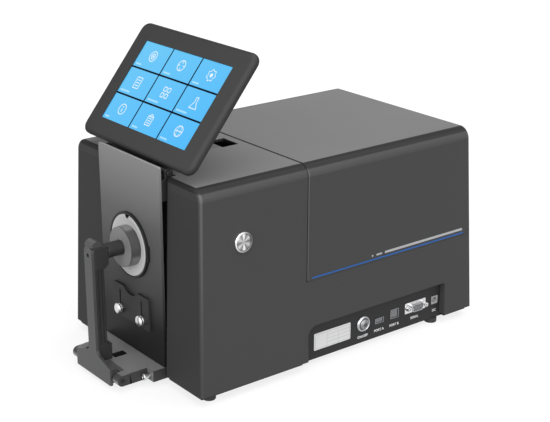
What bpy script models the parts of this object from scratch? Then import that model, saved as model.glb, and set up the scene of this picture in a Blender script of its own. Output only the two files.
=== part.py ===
# Benchtop sphere spectrophotometer with a tilting touch display, a sprung sample clamp on the front
# port and a transmission compartment under a sliding hood. Metres, +Z up, front of the instrument
# towards -Y. The origin is under the middle of the whole, on the bench.
import math

import bmesh
import bpy
from mathutils import Matrix, Vector

for stale in list(bpy.data.objects):
    bpy.data.objects.remove(stale, do_unlink=True)

# Overall size of the case, which leans in by the same draft on all four sides
BODY_WIDTH = 0.244
BODY_LENGTH = 0.370
BODY_HEIGHT = 0.210
DRAFT = 0.008
WALL = 0.003
FOOT_DROP = 0.010
CLAMP_REACH = 0.050

# Clearances
SEAT = 0.0003
OVERRUN = 0.002
MERGE = 0.00001
MILLIMETRE = 0.001

# Optical axis of the sample port, above half the height of the case
PORT_ABOVE_MIDDLE = 0.020
PORT_HEIGHT = BODY_HEIGHT / 2 + PORT_ABOVE_MIDDLE

# Seam between the front housing and the sliding hood
SEAM_SETBACK = 0.1295
HOOD_BELOW_PORT = 0.0365
HOOD_BOTTOM = PORT_HEIGHT - HOOD_BELOW_PORT
HOOD_TRAVEL = 0.100

# Front channel and its plate
CHANNEL_DEPTH = 0.018
CHANNEL_GAP = 0.0035
PLATE_HALF_WIDTH = 0.056
CHANNEL_HALF_WIDTH = PLATE_HALF_WIDTH + CHANNEL_GAP
PLATE_THICKNESS = 0.003
PLATE_RISE = 0.010

# Hinge of the display: its axis, how far it leans back, and the display's size
DISPLAY_AXIS_Y = 0.012
DISPLAY_AXIS_RISE = 0.003
DISPLAY_AXIS_HEIGHT = BODY_HEIGHT + DISPLAY_AXIS_RISE
DISPLAY_TILT = math.radians(51.2)
DISPLAY_WIDTH = 0.198
DISPLAY_HEIGHT = 0.1336
DISPLAY_THICKNESS = 0.0104
SCREEN_WIDTH = 0.1526
SCREEN_HEIGHT = 0.0925

# Hinge of the sample clamp
CLAMP_AXIS_Y = -0.0425
CLAMP_AXIS_HEIGHT = 0.0022

# Sides of round pieces
FINE = 40
ROUND = 24
SMALL = 16
TINY = 12

parts = bpy.data.collections.new("benchtop_spectrophotometer")
cutters = bpy.data.collections.new("cutters")
bpy.context.scene.collection.children.link(parts)
bpy.context.scene.collection.children.link(cutters)


def pivot(name, location, parent=None, rotation=(0, 0, 0)):
    """An empty that carries other pieces."""
    empty = bpy.data.objects.new(name, None)
    parts.objects.link(empty)
    empty.location = location
    empty.rotation_euler = rotation
    empty.parent = parent
    return empty


# The case frame has y = 0 at the foot of the front face and z = 0 at the case's lower edge
case = pivot("case_frame", (0, (CLAMP_REACH - BODY_LENGTH) / 2, FOOT_DROP))


def paint(name, colour, roughness, metallic=0.0):
    """A Principled material."""
    material = bpy.data.materials.new(name)
    material.use_nodes = True
    shader = material.node_tree.nodes["Principled BSDF"]
    shader.inputs["Base Color"].default_value = (*colour, 1)
    shader.inputs["Roughness"].default_value = roughness
    shader.inputs["Metallic"].default_value = metallic
    return material


def charcoal(name):
    return paint(name, (0.072, 0.072, 0.074), 0.45)


def black(name):
    return paint(name, (0.012, 0.012, 0.013), 0.5)


def silver(name):
    return paint(name, (0.6, 0.6, 0.6), 0.25, 1.0)


def grey_metal(name):
    return paint(name, (0.16, 0.16, 0.165), 0.4, 0.6)


def place(name, mesh, parent, finish):
    """Make a named object, or a cutter when there is no finish."""
    thing = bpy.data.objects.new(name, mesh)
    thing.parent = parent
    if finish is None:
        cutters.objects.link(thing)
        thing.display_type = "WIRE"
        thing.hide_render = True
    else:
        parts.objects.link(thing)
        mesh.materials.append(finish(name))
    return thing


def mesh_from(bm, name):
    mesh = bpy.data.meshes.new(name)
    bm.to_mesh(mesh)
    bm.free()
    return mesh


def smooth(mesh):
    mesh.shade_smooth()
    mesh.set_sharp_from_angle(angle=math.radians(35))


def round_edges(bm, edges, radius, segments):
    bmesh.ops.bevel(bm, geom=edges, offset=radius, offset_type="OFFSET", segments=segments,
                    profile=0.5, affect="EDGES", clamp_overlap=True)


def upright(edge):
    along = edge.verts[0].co - edge.verts[1].co
    return abs(along.z) > along.length / 2


def box(name, low, high, finish=None, parent=case, edge=0, segments=2, uprights=0, upright_segments=4):
    """A box between two corners; edge rounds every edge, uprights only the vertical ones."""
    low = Vector(low)
    high = Vector(high)
    bm = bmesh.new()
    bmesh.ops.create_cube(bm, size=1)
    bmesh.ops.scale(bm, vec=high - low, verts=bm.verts)
    if uprights:
        round_edges(bm, [e for e in bm.edges if upright(e)], uprights, upright_segments)
    if edge:
        flat = [e for e in bm.edges if not upright(e) or not uprights]
        round_edges(bm, flat, edge, segments)
    thing = place(name, mesh_from(bm, name), parent, finish)
    thing.location = (low + high) / 2
    if edge or uprights:
        smooth(thing.data)
    return thing


def drafted(name, low_rect, low_z, high_rect, high_z, finish=None, crown=0, nose=0):
    """A box whose upper rectangle differs from its lower one. A rectangle is (x half width, front y,
    rear y). crown rounds the long top edges, nose the front face's sides and top."""
    bm = bmesh.new()
    bmesh.ops.create_cube(bm, size=2)
    for vert in bm.verts:
        half, front, rear = high_rect if vert.co.z > 0 else low_rect
        height = high_z if vert.co.z > 0 else low_z
        across = half if vert.co.x > 0 else -half
        vert.co = (across, rear if vert.co.y > 0 else front, height)
    middle = (low_z + high_z) / 2
    halfway = (low_rect[1] + low_rect[2]) / 2
    if crown:
        top_edges = [e for e in bm.edges
                     if min(v.co.z for v in e.verts) > middle
                     and min(v.co.y for v in e.verts) < halfway < max(v.co.y for v in e.verts)]
        round_edges(bm, top_edges, crown, 6)
    if nose:
        front_edges = [e for e in bm.edges
                       if max(v.co.y for v in e.verts) < halfway
                       and max(v.co.z for v in e.verts) > low_z + nose]
        round_edges(bm, front_edges, nose, 3)
    thing = place(name, mesh_from(bm, name), case, finish)
    smooth(thing.data)
    return thing


def cylinder(name, radius, start, end, finish=None, parent=case, sides=ROUND):
    """A cylinder from one point to another."""
    start = Vector(start)
    end = Vector(end)
    along = end - start
    bm = bmesh.new()
    bmesh.ops.create_cone(bm, cap_ends=True, segments=sides, radius1=radius, radius2=radius, depth=along.length)
    mesh = mesh_from(bm, name)
    smooth(mesh)
    thing = place(name, mesh, parent, finish)
    thing.location = (start + end) / 2
    thing.rotation_mode = "QUATERNION"
    thing.rotation_quaternion = along.to_track_quat("Z", "Y")
    return thing


def turned(name, profile, start, direction, finish=None, parent=case, sides=ROUND, closed=False):
    """Turn a profile of (radius, height) points about its own axis, which runs from start along
    direction. The profile runs down the outer side; a closed one goes on up the bore."""
    mesh = bpy.data.meshes.new(name)
    edges = [(i, i + 1) for i in range(len(profile) - 1)]
    if closed:
        edges.append((len(profile) - 1, 0))
    mesh.from_pydata([(radius, 0, height) for radius, height in profile], edges, [])
    thing = place(name, mesh, parent, finish)
    screw = thing.modifiers.new("Turn", "SCREW")
    screw.axis = "Z"
    screw.steps = sides
    screw.render_steps = sides
    screw.use_merge_vertices = True
    screw.merge_threshold = MERGE
    screw.use_smooth_shade = True
    thing.location = start
    thing.rotation_mode = "QUATERNION"
    thing.rotation_quaternion = Vector(direction).to_track_quat("Z", "Y")
    return thing


def arc(centre, radius, first, last, steps):
    """Points of an arc between two angles in degrees."""
    points = []
    for step in range(steps + 1):
        angle = math.radians(first + (last - first) * step / steps)
        points.append((centre[0] + radius * math.cos(angle), centre[1] + radius * math.sin(angle)))
    return points


FACING = {
    "x": Matrix(((0, 0, 1, 0), (1, 0, 0, 0), (0, 1, 0, 0), (0, 0, 0, 1))),
    "y": Matrix(((1, 0, 0, 0), (0, 0, -1, 0), (0, 1, 0, 0), (0, 0, 0, 1))),
    "z": Matrix.Identity(4),
}


def slab(name, outline, near, far, facing, finish=None, parent=case):
    """A flat outline extruded from near to far along x, y or z. On x the outline is (y, z), on y it
    is (x, z) and on z it is (x, y)."""
    curve = bpy.data.curves.new(name, "CURVE")
    curve.dimensions = "2D"
    curve.fill_mode = "BOTH"
    curve.extrude = abs(far - near) / 2
    spline = curve.splines.new("POLY")
    spline.points.add(len(outline) - 1)
    for point, (u, v) in zip(spline.points, outline):
        point.co = (u, v, 0, 1)
    spline.use_cyclic_u = True
    flat = bpy.data.objects.new(name + "_outline", curve)
    cutters.objects.link(flat)
    mesh = bpy.data.meshes.new_from_object(flat.evaluated_get(bpy.context.evaluated_depsgraph_get()))
    bpy.data.objects.remove(flat)
    bm = bmesh.new()
    bm.from_mesh(mesh)
    bmesh.ops.remove_doubles(bm, verts=bm.verts, dist=MERGE / 10)
    bmesh.ops.transform(bm, matrix=FACING[facing], verts=bm.verts)
    bmesh.ops.recalc_face_normals(bm, faces=bm.faces)
    bm.to_mesh(mesh)
    bm.free()
    smooth(mesh)
    thing = place(name, mesh, parent, finish)
    middle = (near + far) / 2
    thing.location = {"x": (middle, 0, 0), "y": (0, middle, 0), "z": (0, 0, middle)}[facing]
    return thing


def combine(target, other, operation):
    boolean = target.modifiers.new(operation.title(), "BOOLEAN")
    boolean.operation = operation
    boolean.solver = "EXACT"
    boolean.object = other


def cut(target, *others):
    for other in others:
        combine(target, other, "DIFFERENCE")


def join(target, *others):
    for other in others:
        combine(target, other, "UNION")


def lean(height):
    """How far every wall of the case has leaned in at a height."""
    return DRAFT * height / BODY_HEIGHT


def half_width(height):
    return BODY_WIDTH / 2 - lean(height)


def seam(height):
    """Where the seam lies: it is parallel to the leaning front face."""
    return SEAM_SETBACK + lean(height)


def rear(height):
    return BODY_LENGTH - lean(height)


# Main housing: the front slab with its channel, the lower side and rear walls, and the bulkhead
# that closes the transmission compartment in front
CROWN_RADIUS = 0.012
NOSE_RADIUS = 0.0035
DECK_BELOW_HOOD = 0.005
DECK_BOTTOM = HOOD_BOTTOM - DECK_BELOW_HOOD
BULKHEAD_BELOW_DECK = 0.0035
BULKHEAD_FOOT = DECK_BOTTOM - BULKHEAD_BELOW_DECK
DECK_THICKNESS = 0.0025
LEDGE_WIDTH = 0.005
LEDGE_THICKNESS = 0.0035
PORT_BORE_RADIUS = 0.030
BEAM_RADIUS = 0.014
RECESS_BEHIND_SEAM = 0.0045
RECESS_FRONT = SEAM_SETBACK + RECESS_BEHIND_SEAM
RECESS_TO_REAR = 0.040
RECESS_REAR = BODY_LENGTH - RECESS_TO_REAR
RECESS_TOP = 0.0385
RECESS_DEPTH = 0.009
RECESS_FRAME = 0.004
RECESS_FRONT_RADIUS = 0.012
RECESS_REAR_RADIUS = 0.004
CABLE_PORT_X = -0.003
CABLE_PORT_WIDTH = 0.0266
CABLE_PORT_LENGTH = 0.020
CABLE_PORT_AHEAD_OF_SEAM = 0.001
CABLE_PORT_REAR = SEAM_SETBACK - CABLE_PORT_AHEAD_OF_SEAM
CABLE_PORT_FRONT = CABLE_PORT_REAR - CABLE_PORT_LENGTH
RIBBON_WIDTH = 0.020
RIBBON_GROOVE = 0.0015
MEASURE_Y = 0.0555
MEASURE_BELOW_TOP = 0.0603
MEASURE_HEIGHT = BODY_HEIGHT - MEASURE_BELOW_TOP
MEASURE_RADIUS = 0.0105
MEASURE_LIP = 0.0008
LUG_SIZE = 0.016
LUG_HEIGHT = 0.014
CHANNEL_BACK = CHANNEL_DEPTH + WALL
TRAY_DROP = 0.004
TRAY_THICKNESS = 0.0025
PANEL_FACE = BODY_WIDTH / 2 - RECESS_DEPTH


def walls(name, low_z, high_z, front, back, inset, finish=None, crown=0, nose=0):
    """A drafted block between two heights, with front and back given as functions of height."""
    rects = [(half_width(z) - inset, front(z), back(z)) for z in (low_z, high_z)]
    return drafted(name, rects[0], low_z, rects[1], high_z, finish, crown, nose)


def front_face(height):
    return lean(height)


def lug_corners():
    """Corners (x, y) nearest to the middle of the case for the four lugs that take the tray."""
    side = half_width(0) - WALL - LUG_SIZE
    for across in (-1, 1):
        yield across, side, CHANNEL_BACK + OVERRUN
        yield across, side, BODY_LENGTH - WALL - LUG_SIZE


def main_housing():
    housing = walls("main_housing", 0, BODY_HEIGHT, front_face, rear, 0, charcoal, CROWN_RADIUS, NOSE_RADIUS)
    inner_crown = CROWN_RADIUS - WALL
    top = BODY_HEIGHT - WALL
    over = BODY_HEIGHT + OVERRUN
    cut(housing, walls("hood_space", HOOD_BOTTOM, over, seam, lambda z: BODY_LENGTH + OVERRUN, -OVERRUN))
    cut(housing, walls("front_cavity", -OVERRUN, top, lambda z: CHANNEL_BACK, lambda z: seam(z) - WALL,
                       WALL, None, inner_crown))
    cut(housing, walls("lower_cavity", -OVERRUN, BULKHEAD_FOOT, lambda z: CHANNEL_BACK + WALL,
                       lambda z: rear(z) - WALL - SEAT, WALL + SEAT))
    cut(housing, walls("deck_cavity", BULKHEAD_FOOT - OVERRUN, HOOD_BOTTOM + OVERRUN, seam,
                       lambda z: rear(z) - WALL, WALL))
    for across, name in ((-1, "left_column_cavity"), (1, "right_column_cavity")):
        inner = CHANNEL_HALF_WIDTH + WALL
        inset = WALL + SEAT
        roof = top - SEAT
        shoulder = roof - inner_crown
        outline = [(inner, -OVERRUN), (half_width(-OVERRUN) - inset, -OVERRUN),
                   (half_width(shoulder) - inset, shoulder), (half_width(roof) - inset - inner_crown, roof),
                   (inner, roof)]
        outline = [(across * x, z) for x, z in outline]
        cut(housing, slab(name, outline, lean(BODY_HEIGHT) + WALL, CHANNEL_BACK + OVERRUN, "y"))
    cut(housing, box("channel", (-CHANNEL_HALF_WIDTH, -OVERRUN, -OVERRUN),
                     (CHANNEL_HALF_WIDTH, CHANNEL_DEPTH, over)))
    cut(housing, cylinder("port_bore", PORT_BORE_RADIUS, (0, CHANNEL_DEPTH - OVERRUN, PORT_HEIGHT),
                          (0, CHANNEL_BACK + OVERRUN, PORT_HEIGHT)))
    bulkhead = seam(PORT_HEIGHT)
    cut(housing, cylinder("beam_bore", BEAM_RADIUS, (0, bulkhead - WALL - OVERRUN, PORT_HEIGHT),
                          (0, bulkhead + OVERRUN, PORT_HEIGHT)))
    cut(housing, box("cable_port", (CABLE_PORT_X - CABLE_PORT_WIDTH / 2, CABLE_PORT_FRONT, top - OVERRUN),
                     (CABLE_PORT_X + CABLE_PORT_WIDTH / 2, CABLE_PORT_REAR, over)))
    groove = RIBBON_WIDTH / 2 + SEAT
    cut(housing, box("ribbon_groove",
                     (CABLE_PORT_X - groove, CHANNEL_DEPTH - OVERRUN, BODY_HEIGHT - RIBBON_GROOVE),
                     (CABLE_PORT_X + groove, CABLE_PORT_FRONT + OVERRUN, over)))
    frame_side = half_width(RECESS_TOP + RECESS_FRAME) - WALL / 2
    join(housing, box("recess_frame", (PANEL_FACE + SEAT, RECESS_FRONT - RECESS_FRAME, SEAT),
                      (frame_side, RECESS_REAR + RECESS_FRAME, RECESS_TOP + RECESS_FRAME)))
    window = [(RECESS_FRONT, -OVERRUN), (RECESS_REAR, -OVERRUN)]
    window += arc((RECESS_REAR - RECESS_REAR_RADIUS, RECESS_TOP - RECESS_REAR_RADIUS),
                  RECESS_REAR_RADIUS, 0, 90, 3)
    window += arc((RECESS_FRONT + RECESS_FRONT_RADIUS, RECESS_TOP - RECESS_FRONT_RADIUS),
                  RECESS_FRONT_RADIUS, 90, 180, 6)
    cut(housing, slab("recess_window", window, PANEL_FACE - OVERRUN, BODY_WIDTH / 2 + OVERRUN, "x"))
    outward = side_normal()
    middle = measure_centre()
    cut(housing, cylinder("measure_bore", MEASURE_RADIUS - MEASURE_LIP, middle - outward * (WALL + OVERRUN),
                          middle + outward * OVERRUN))
    ledge_in = half_width(DECK_BOTTOM) - WALL - LEDGE_WIDTH
    for across, name in ((-1, "left_ledge"), (1, "right_ledge")):
        edges = sorted((across * ledge_in, across * (half_width(DECK_BOTTOM) - WALL / 2)))
        ledge_top = DECK_BOTTOM - SEAT
        join(housing, box(name, (edges[0], seam(DECK_BOTTOM) - WALL / 2, ledge_top - LEDGE_THICKNESS),
                          (edges[1], rear(DECK_BOTTOM) - WALL / 2, ledge_top)))
    for number, (across, side, front) in enumerate(lug_corners()):
        edges = sorted((across * side, across * (half_width(LUG_HEIGHT) - WALL / 2)))
        join(housing, box(f"lug_{number}", (edges[0], front, TRAY_THICKNESS - TRAY_DROP + SEAT),
                          (edges[1], front + LUG_SIZE, LUG_HEIGHT)))


def side_normal():
    """Outward normal of the leaning right side."""
    return Vector((BODY_HEIGHT, 0, DRAFT)).normalized()


def measure_centre():
    return Vector((half_width(MEASURE_HEIGHT), MEASURE_Y, MEASURE_HEIGHT))


# Hood over the transmission compartment, with the runners that hook over the deck's rails
RAIL_INSET = 0.018
RAIL_INNER = BODY_WIDTH / 2 - RAIL_INSET
RAIL_WIDTH = 0.004
RAIL_HEIGHT = 0.0053
RAIL_END = 0.012
RUNNER_LENGTH = 0.060
RUNNER_FRONT = 0.020
RUNNER_LIP = 0.0022
DECK_TOP = DECK_BOTTOM + DECK_THICKNESS


def hood():
    hood_bottom = HOOD_BOTTOM + SEAT
    shell = walls("hood", hood_bottom, BODY_HEIGHT, lambda z: seam(z) + 2 * SEAT, rear, 0,
                  charcoal, CROWN_RADIUS)
    cut(shell, walls("hood_cavity", hood_bottom - OVERRUN, BODY_HEIGHT - WALL, lambda z: seam(z) - OVERRUN,
                     lambda z: rear(z) - WALL, WALL, None, CROWN_RADIUS - WALL))
    hood_slide = pivot("hood_slide", (0, 0, 0), case)
    shell.parent = hood_slide
    start = seam(DECK_TOP) + RUNNER_FRONT
    lip_low = DECK_TOP + RAIL_HEIGHT + 2 * SEAT
    inside = half_width(lip_low + RUNNER_LIP) - WALL - SEAT
    for across, side in ((-1, "left"), (1, "right")):
        near, far = sorted((across * (RAIL_INNER + RAIL_WIDTH + SEAT), across * inside))
        join(shell, box(f"{side}_runner", (near, start, DECK_TOP + 2 * SEAT),
                        (far, start + RUNNER_LENGTH, lip_low + RUNNER_LIP / 2)))
        near, far = sorted((across * RAIL_INNER, across * (inside + WALL / 2)))
        join(shell, box(f"{side}_runner_lip", (near, start, lip_low),
                        (far, start + RUNNER_LENGTH, lip_low + RUNNER_LIP)))


# Deck under the compartment, with the sample holder and the receiving optics on it
HOLDER_HALF_WIDTH = 0.030
HOLDER_DEPTH = 0.022
HOLDER_BASE = 0.006
HOLDER_ABOVE_WINDOW = 0.0073
HOLDER_PLATE = 0.004
HOLDER_FRONT = 0.006
OPTICS_HALF_WIDTH = 0.055
OPTICS_FRONT = 0.108
OPTICS_REAR_ROOM = 0.0325
OPTICS_LENGTH = BODY_LENGTH - SEAM_SETBACK - OPTICS_FRONT - OPTICS_REAR_ROOM
OPTICS_HEADROOM = 0.0307
OPTICS_TOP = BODY_HEIGHT - WALL - OPTICS_HEADROOM
BARREL_RADIUS = 0.019
BARREL_LENGTH = 0.024
BARREL_LENS_DEPTH = 0.004


def compartment():
    side = half_width(DECK_TOP) - WALL - SEAT
    deck = box("compartment_floor", (-side, seam(DECK_TOP) + SEAT, DECK_BOTTOM),
               (side, rear(DECK_TOP) - WALL - SEAT, DECK_TOP), black)
    rail_rear = seam(DECK_TOP) + RUNNER_FRONT + RUNNER_LENGTH + HOOD_TRAVEL + RAIL_END
    for across, rail in ((-1, "left_rail"), (1, "right_rail")):
        near, far = sorted((across * RAIL_INNER, across * (RAIL_INNER + RAIL_WIDTH)))
        join(deck, box(rail, (near, seam(DECK_TOP) + RAIL_END, DECK_BOTTOM + DECK_THICKNESS / 2),
                       (far, rail_rear, DECK_TOP + RAIL_HEIGHT)))
    floor = DECK_TOP + SEAT
    front = seam(DECK_TOP) + HOLDER_FRONT
    holder = box("sample_holder", (-HOLDER_HALF_WIDTH, front, floor),
                 (HOLDER_HALF_WIDTH, front + HOLDER_DEPTH, floor + HOLDER_BASE), black)
    rear_edge = front + HOLDER_DEPTH
    holder_top = PORT_HEIGHT + BEAM_RADIUS + HOLDER_ABOVE_WINDOW
    join(holder, box("holder_plate", (-HOLDER_HALF_WIDTH, rear_edge - HOLDER_PLATE, floor + HOLDER_BASE / 2),
                     (HOLDER_HALF_WIDTH, rear_edge, holder_top)))
    cut(holder, cylinder("holder_window", BEAM_RADIUS, (0, rear_edge - HOLDER_PLATE - OVERRUN, PORT_HEIGHT),
                         (0, rear_edge + OVERRUN, PORT_HEIGHT), sides=SMALL))
    start = seam(DECK_TOP) + OPTICS_FRONT
    box("receiver_housing", (-OPTICS_HALF_WIDTH, start, floor),
        (OPTICS_HALF_WIDTH, start + OPTICS_LENGTH, OPTICS_TOP), charcoal, edge=WALL, segments=1)
    face = start - SEAT
    lens_face = BARREL_LENGTH - BARREL_LENS_DEPTH
    bore = BARREL_RADIUS - WALL
    profile = [(0, lens_face), (bore, lens_face), (bore, BARREL_LENGTH), (BARREL_RADIUS, BARREL_LENGTH),
               (BARREL_RADIUS, 0), (0, 0)]
    turned("receiver_barrel", profile, (0, face, PORT_HEIGHT), (0, -1, 0), black)


# Tray that closes the case below, with the connector panel folded up on its right edge, and the feet
TRAY_INSET = 0.005
TRAY_HALF_WIDTH = BODY_WIDTH / 2 - TRAY_INSET
TRAY_FLANGE = 0.012
FOOT_RADIUS = 0.007
FOOT_INSET = 0.009
FOOT_X = TRAY_HALF_WIDTH - FOOT_INSET
FOOT_FRONT = 0.018
FOOT_TO_REAR = 0.048
FOOT_REAR = BODY_LENGTH - FOOT_TO_REAR
FOOT_CHAMFER = 0.0008


def base_tray():
    low = -TRAY_DROP
    high = low + TRAY_THICKNESS
    panel_front = RECESS_FRONT - RECESS_FRAME
    panel_rear = RECESS_REAR + RECESS_FRAME
    tray = box("base_tray", (-TRAY_HALF_WIDTH, WALL, low), (TRAY_HALF_WIDTH, BODY_LENGTH - WALL, high),
               grey_metal)
    cut(tray, box("tray_notch", (-CHANNEL_HALF_WIDTH, WALL - OVERRUN, low - OVERRUN),
                  (CHANNEL_HALF_WIDTH, CHANNEL_DEPTH, high + OVERRUN)))
    cut(tray, box("tray_recess", (PANEL_FACE, panel_front, low - OVERRUN),
                  (TRAY_HALF_WIDTH + OVERRUN, panel_rear, high + OVERRUN)))
    join(tray, box("connector_panel", (PANEL_FACE - TRAY_THICKNESS, panel_front, low),
                   (PANEL_FACE, panel_rear, RECESS_TOP + RECESS_FRAME)))
    join(tray, box("left_flange", (-TRAY_HALF_WIDTH, panel_front, low),
                   (TRAY_THICKNESS - TRAY_HALF_WIDTH, panel_rear, low + TRAY_FLANGE)))
    for across, side in ((-1, "left"), (1, "right")):
        for y, end in ((FOOT_FRONT, "front"), (FOOT_REAR, "rear")):
            top = FOOT_DROP - TRAY_DROP - SEAT
            profile = [(0, top), (FOOT_RADIUS, top), (FOOT_RADIUS, FOOT_CHAMFER),
                       (FOOT_RADIUS - FOOT_CHAMFER, 0), (0, 0)]
            turned(f"foot_{end}_{side}", profile, (across * FOOT_X, y, -FOOT_DROP), (0, 0, 1), black,
                   sides=SMALL)
    return tray


# Fittings of the connector panel, each at (y, z), and the board that carries them
LABEL_SETBACK = 0.014
LABEL_LENGTH = 0.050
LABEL_FRONT = RECESS_FRONT + LABEL_SETBACK
LABEL_REAR = LABEL_FRONT + LABEL_LENGTH
LABEL_LOW = 0.0054
LABEL_HIGH = 0.0245
LABEL_THICKNESS = 0.0004
POWER_SETBACK = 0.082
POWER_HEIGHT = 0.0178
POWER_PLACE = (RECESS_FRONT + POWER_SETBACK, POWER_HEIGHT)
POWER_RING_RADIUS = 0.009
POWER_RING_STAND = 0.0025
POWER_BORE = 0.0062
POWER_BUTTON_STAND = 0.0045
POWER_TRAVEL = 0.0015
USB_A_SETBACK = 0.1055
USB_A_HEIGHT = 0.0151
USB_A_PLACE = (RECESS_FRONT + USB_A_SETBACK, USB_A_HEIGHT)
USB_A_SIZE = (0.0125, 0.006)
USB_A_TONGUE_SHARES = (0.8, 0.3)
USB_B_SETBACK = 0.1276
USB_B_HEIGHT = 0.0172
USB_B_PLACE = (RECESS_FRONT + USB_B_SETBACK, USB_B_HEIGHT)
USB_B_SIZE = (0.012, 0.0108)
USB_B_TONGUE_SHARES = (0.5, 0.3)
SERIAL_SETBACK = 0.158
SERIAL_HEIGHT = 0.0182
SERIAL_PLACE = (RECESS_FRONT + SERIAL_SETBACK, SERIAL_HEIGHT)
SERIAL_FLANGE = (0.031, 0.0125)
SERIAL_SHELL = (0.017, 0.0084)
SERIAL_TAPER = 0.0012
SERIAL_MOUTH_SHARES = (0.92, 0.86)
SERIAL_CORE_SHARES = (0.86, 0.74)
SERIAL_STAND = 0.0055
SERIAL_FLANGE_THICKNESS = 0.0008
SERIAL_PIN_PITCH = 0.00277
SERIAL_ROW_PITCH = 0.00284
SERIAL_PIN_RADIUS = 0.0005
STANDOFF_PITCH = 0.025
STANDOFF_RADIUS = 0.0026
STANDOFF_LENGTH = 0.005
DC_SETBACK = 0.188
DC_HEIGHT = 0.0174
DC_PLACE = (RECESS_FRONT + DC_SETBACK, DC_HEIGHT)
DC_SIZE = (0.0093, 0.0092)
DC_BORE = 0.0032
DC_PIN = 0.0011
SOCKET_STAND = 0.0005
SOCKET_WALL = 0.0006
SOCKET_DEPTH = 0.007
CONNECTOR_BOARD_DEPTH = 0.009
CONNECTOR_BOARD_FACE = PANEL_FACE - CONNECTOR_BOARD_DEPTH
BOARD_THICKNESS = 0.0016


def across_panel(place, size, grow=0):
    """Lower and upper (y, z) of a fitting."""
    low = (place[0] - size[0] / 2 - grow, place[1] - size[1] / 2 - grow)
    high = (place[0] + size[0] / 2 + grow, place[1] + size[1] / 2 + grow)
    return low, high


def socket(name, tray, place, size, finish, depth=SOCKET_DEPTH):
    """A rectangular socket from the board through the panel, open outwards."""
    face = PANEL_FACE + SOCKET_STAND
    low, high = across_panel(place, size)
    body = box(name, (CONNECTOR_BOARD_FACE + SEAT, *low), (face, *high), finish)
    low, high = across_panel(place, size, -SOCKET_WALL)
    cut(body, box(name + "_mouth", (face - depth, *low), (face + OVERRUN, *high)))
    panel_window(name + "_window", tray, place, size)
    return body


def panel_window(name, tray, place, size):
    """Cut the opening of a fitting through the panel."""
    low, high = across_panel(place, size, SEAT)
    back = PANEL_FACE - TRAY_THICKNESS - OVERRUN
    cut(tray, box(name, (back, *low), (PANEL_FACE + OVERRUN, *high)))


def power_switch(tray):
    y, z = POWER_PLACE
    back = PANEL_FACE - TRAY_THICKNESS - 2 * SEAT
    panel = PANEL_FACE + SEAT
    neck = POWER_BORE + 3 * SEAT
    cut(tray, cylinder("power_hole", neck + SEAT, (back, y, z), (PANEL_FACE + OVERRUN, y, z)))
    stand = POWER_RING_STAND
    ring_end = CONNECTOR_BOARD_FACE + SEAT - panel
    ring = [(POWER_RING_RADIUS - stand / 2, stand), (POWER_RING_RADIUS, stand / 3), (POWER_RING_RADIUS, 0),
            (neck, 0), (neck, ring_end), (POWER_BORE, ring_end), (POWER_BORE, stand)]
    turned("power_button_ring", ring, (panel, y, z), (1, 0, 0), silver, closed=True)
    radius = POWER_BORE - SEAT
    inner = CONNECTOR_BOARD_FACE + POWER_TRAVEL + 2 * SEAT
    top = PANEL_FACE + POWER_BUTTON_STAND - inner
    dome = POWER_BUTTON_STAND / 5
    cap = [(0, top), (radius / 2, top - dome / 4), (radius - dome, top - dome), (radius, top - 2 * dome),
           (radius, 0), (0, 0)]
    slide = pivot("power_button_slide", (inner, y, z), case)
    turned("power_button", cap, (0, 0, 0), (1, 0, 0), silver, slide)


def shrunk_outline(outline, middle, shares):
    """The outline drawn in towards a middle point, to a share of its width and of its height."""
    return [(middle[0] + (u - middle[0]) * shares[0], middle[1] + (v - middle[1]) * shares[1])
            for u, v in outline]


def serial_port(tray):
    y, z = SERIAL_PLACE
    face = PANEL_FACE + SEAT
    low, high = across_panel(SERIAL_PLACE, SERIAL_FLANGE)
    shell = box("serial_shell", (face, *low), (face + SERIAL_FLANGE_THICKNESS, *high), silver)
    half, rise = SERIAL_SHELL[0] / 2, SERIAL_SHELL[1] / 2
    outline = [(y - half + SERIAL_TAPER, z - rise), (y + half - SERIAL_TAPER, z - rise),
               (y + half, z + rise), (y - half, z + rise)]
    join(shell, slab("serial_tube", outline, face, face + SERIAL_STAND, "x"))
    low, high = across_panel(SERIAL_PLACE, SERIAL_SHELL)
    join(shell, box("serial_body", (CONNECTOR_BOARD_FACE + SEAT, *low),
                    (face + SERIAL_FLANGE_THICKNESS / 2, *high)))
    top = face + SERIAL_STAND
    inner = shrunk_outline(outline, SERIAL_PLACE, SERIAL_MOUTH_SHARES)
    cut(shell, slab("serial_mouth", inner, face, top + OVERRUN, "x"))
    core = shrunk_outline(outline, SERIAL_PLACE, SERIAL_CORE_SHARES)
    insert = slab("serial_insert", core, face + SEAT, top - WALL / 6, "x", black)
    for row, count in ((1, 5), (-1, 4)):
        for index in range(count):
            pin_y = y + (index - (count - 1) / 2) * SERIAL_PIN_PITCH
            pin_z = z + row * SERIAL_ROW_PITCH / 2
            cut(insert, cylinder(f"serial_hole_{row}_{index}", SERIAL_PIN_RADIUS,
                                 (face + SERIAL_STAND / 2, pin_y, pin_z), (top + OVERRUN, pin_y, pin_z), sides=6))
    panel_window("serial_window", tray, SERIAL_PLACE, SERIAL_SHELL)
    start = face + SERIAL_FLANGE_THICKNESS + SEAT
    for across, side in ((-1, "front"), (1, "rear")):
        at = y + across * STANDOFF_PITCH / 2
        cylinder(f"serial_standoff_{side}", STANDOFF_RADIUS, (start, at, z), (start + STANDOFF_LENGTH, at, z),
                 silver, sides=6)


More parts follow.
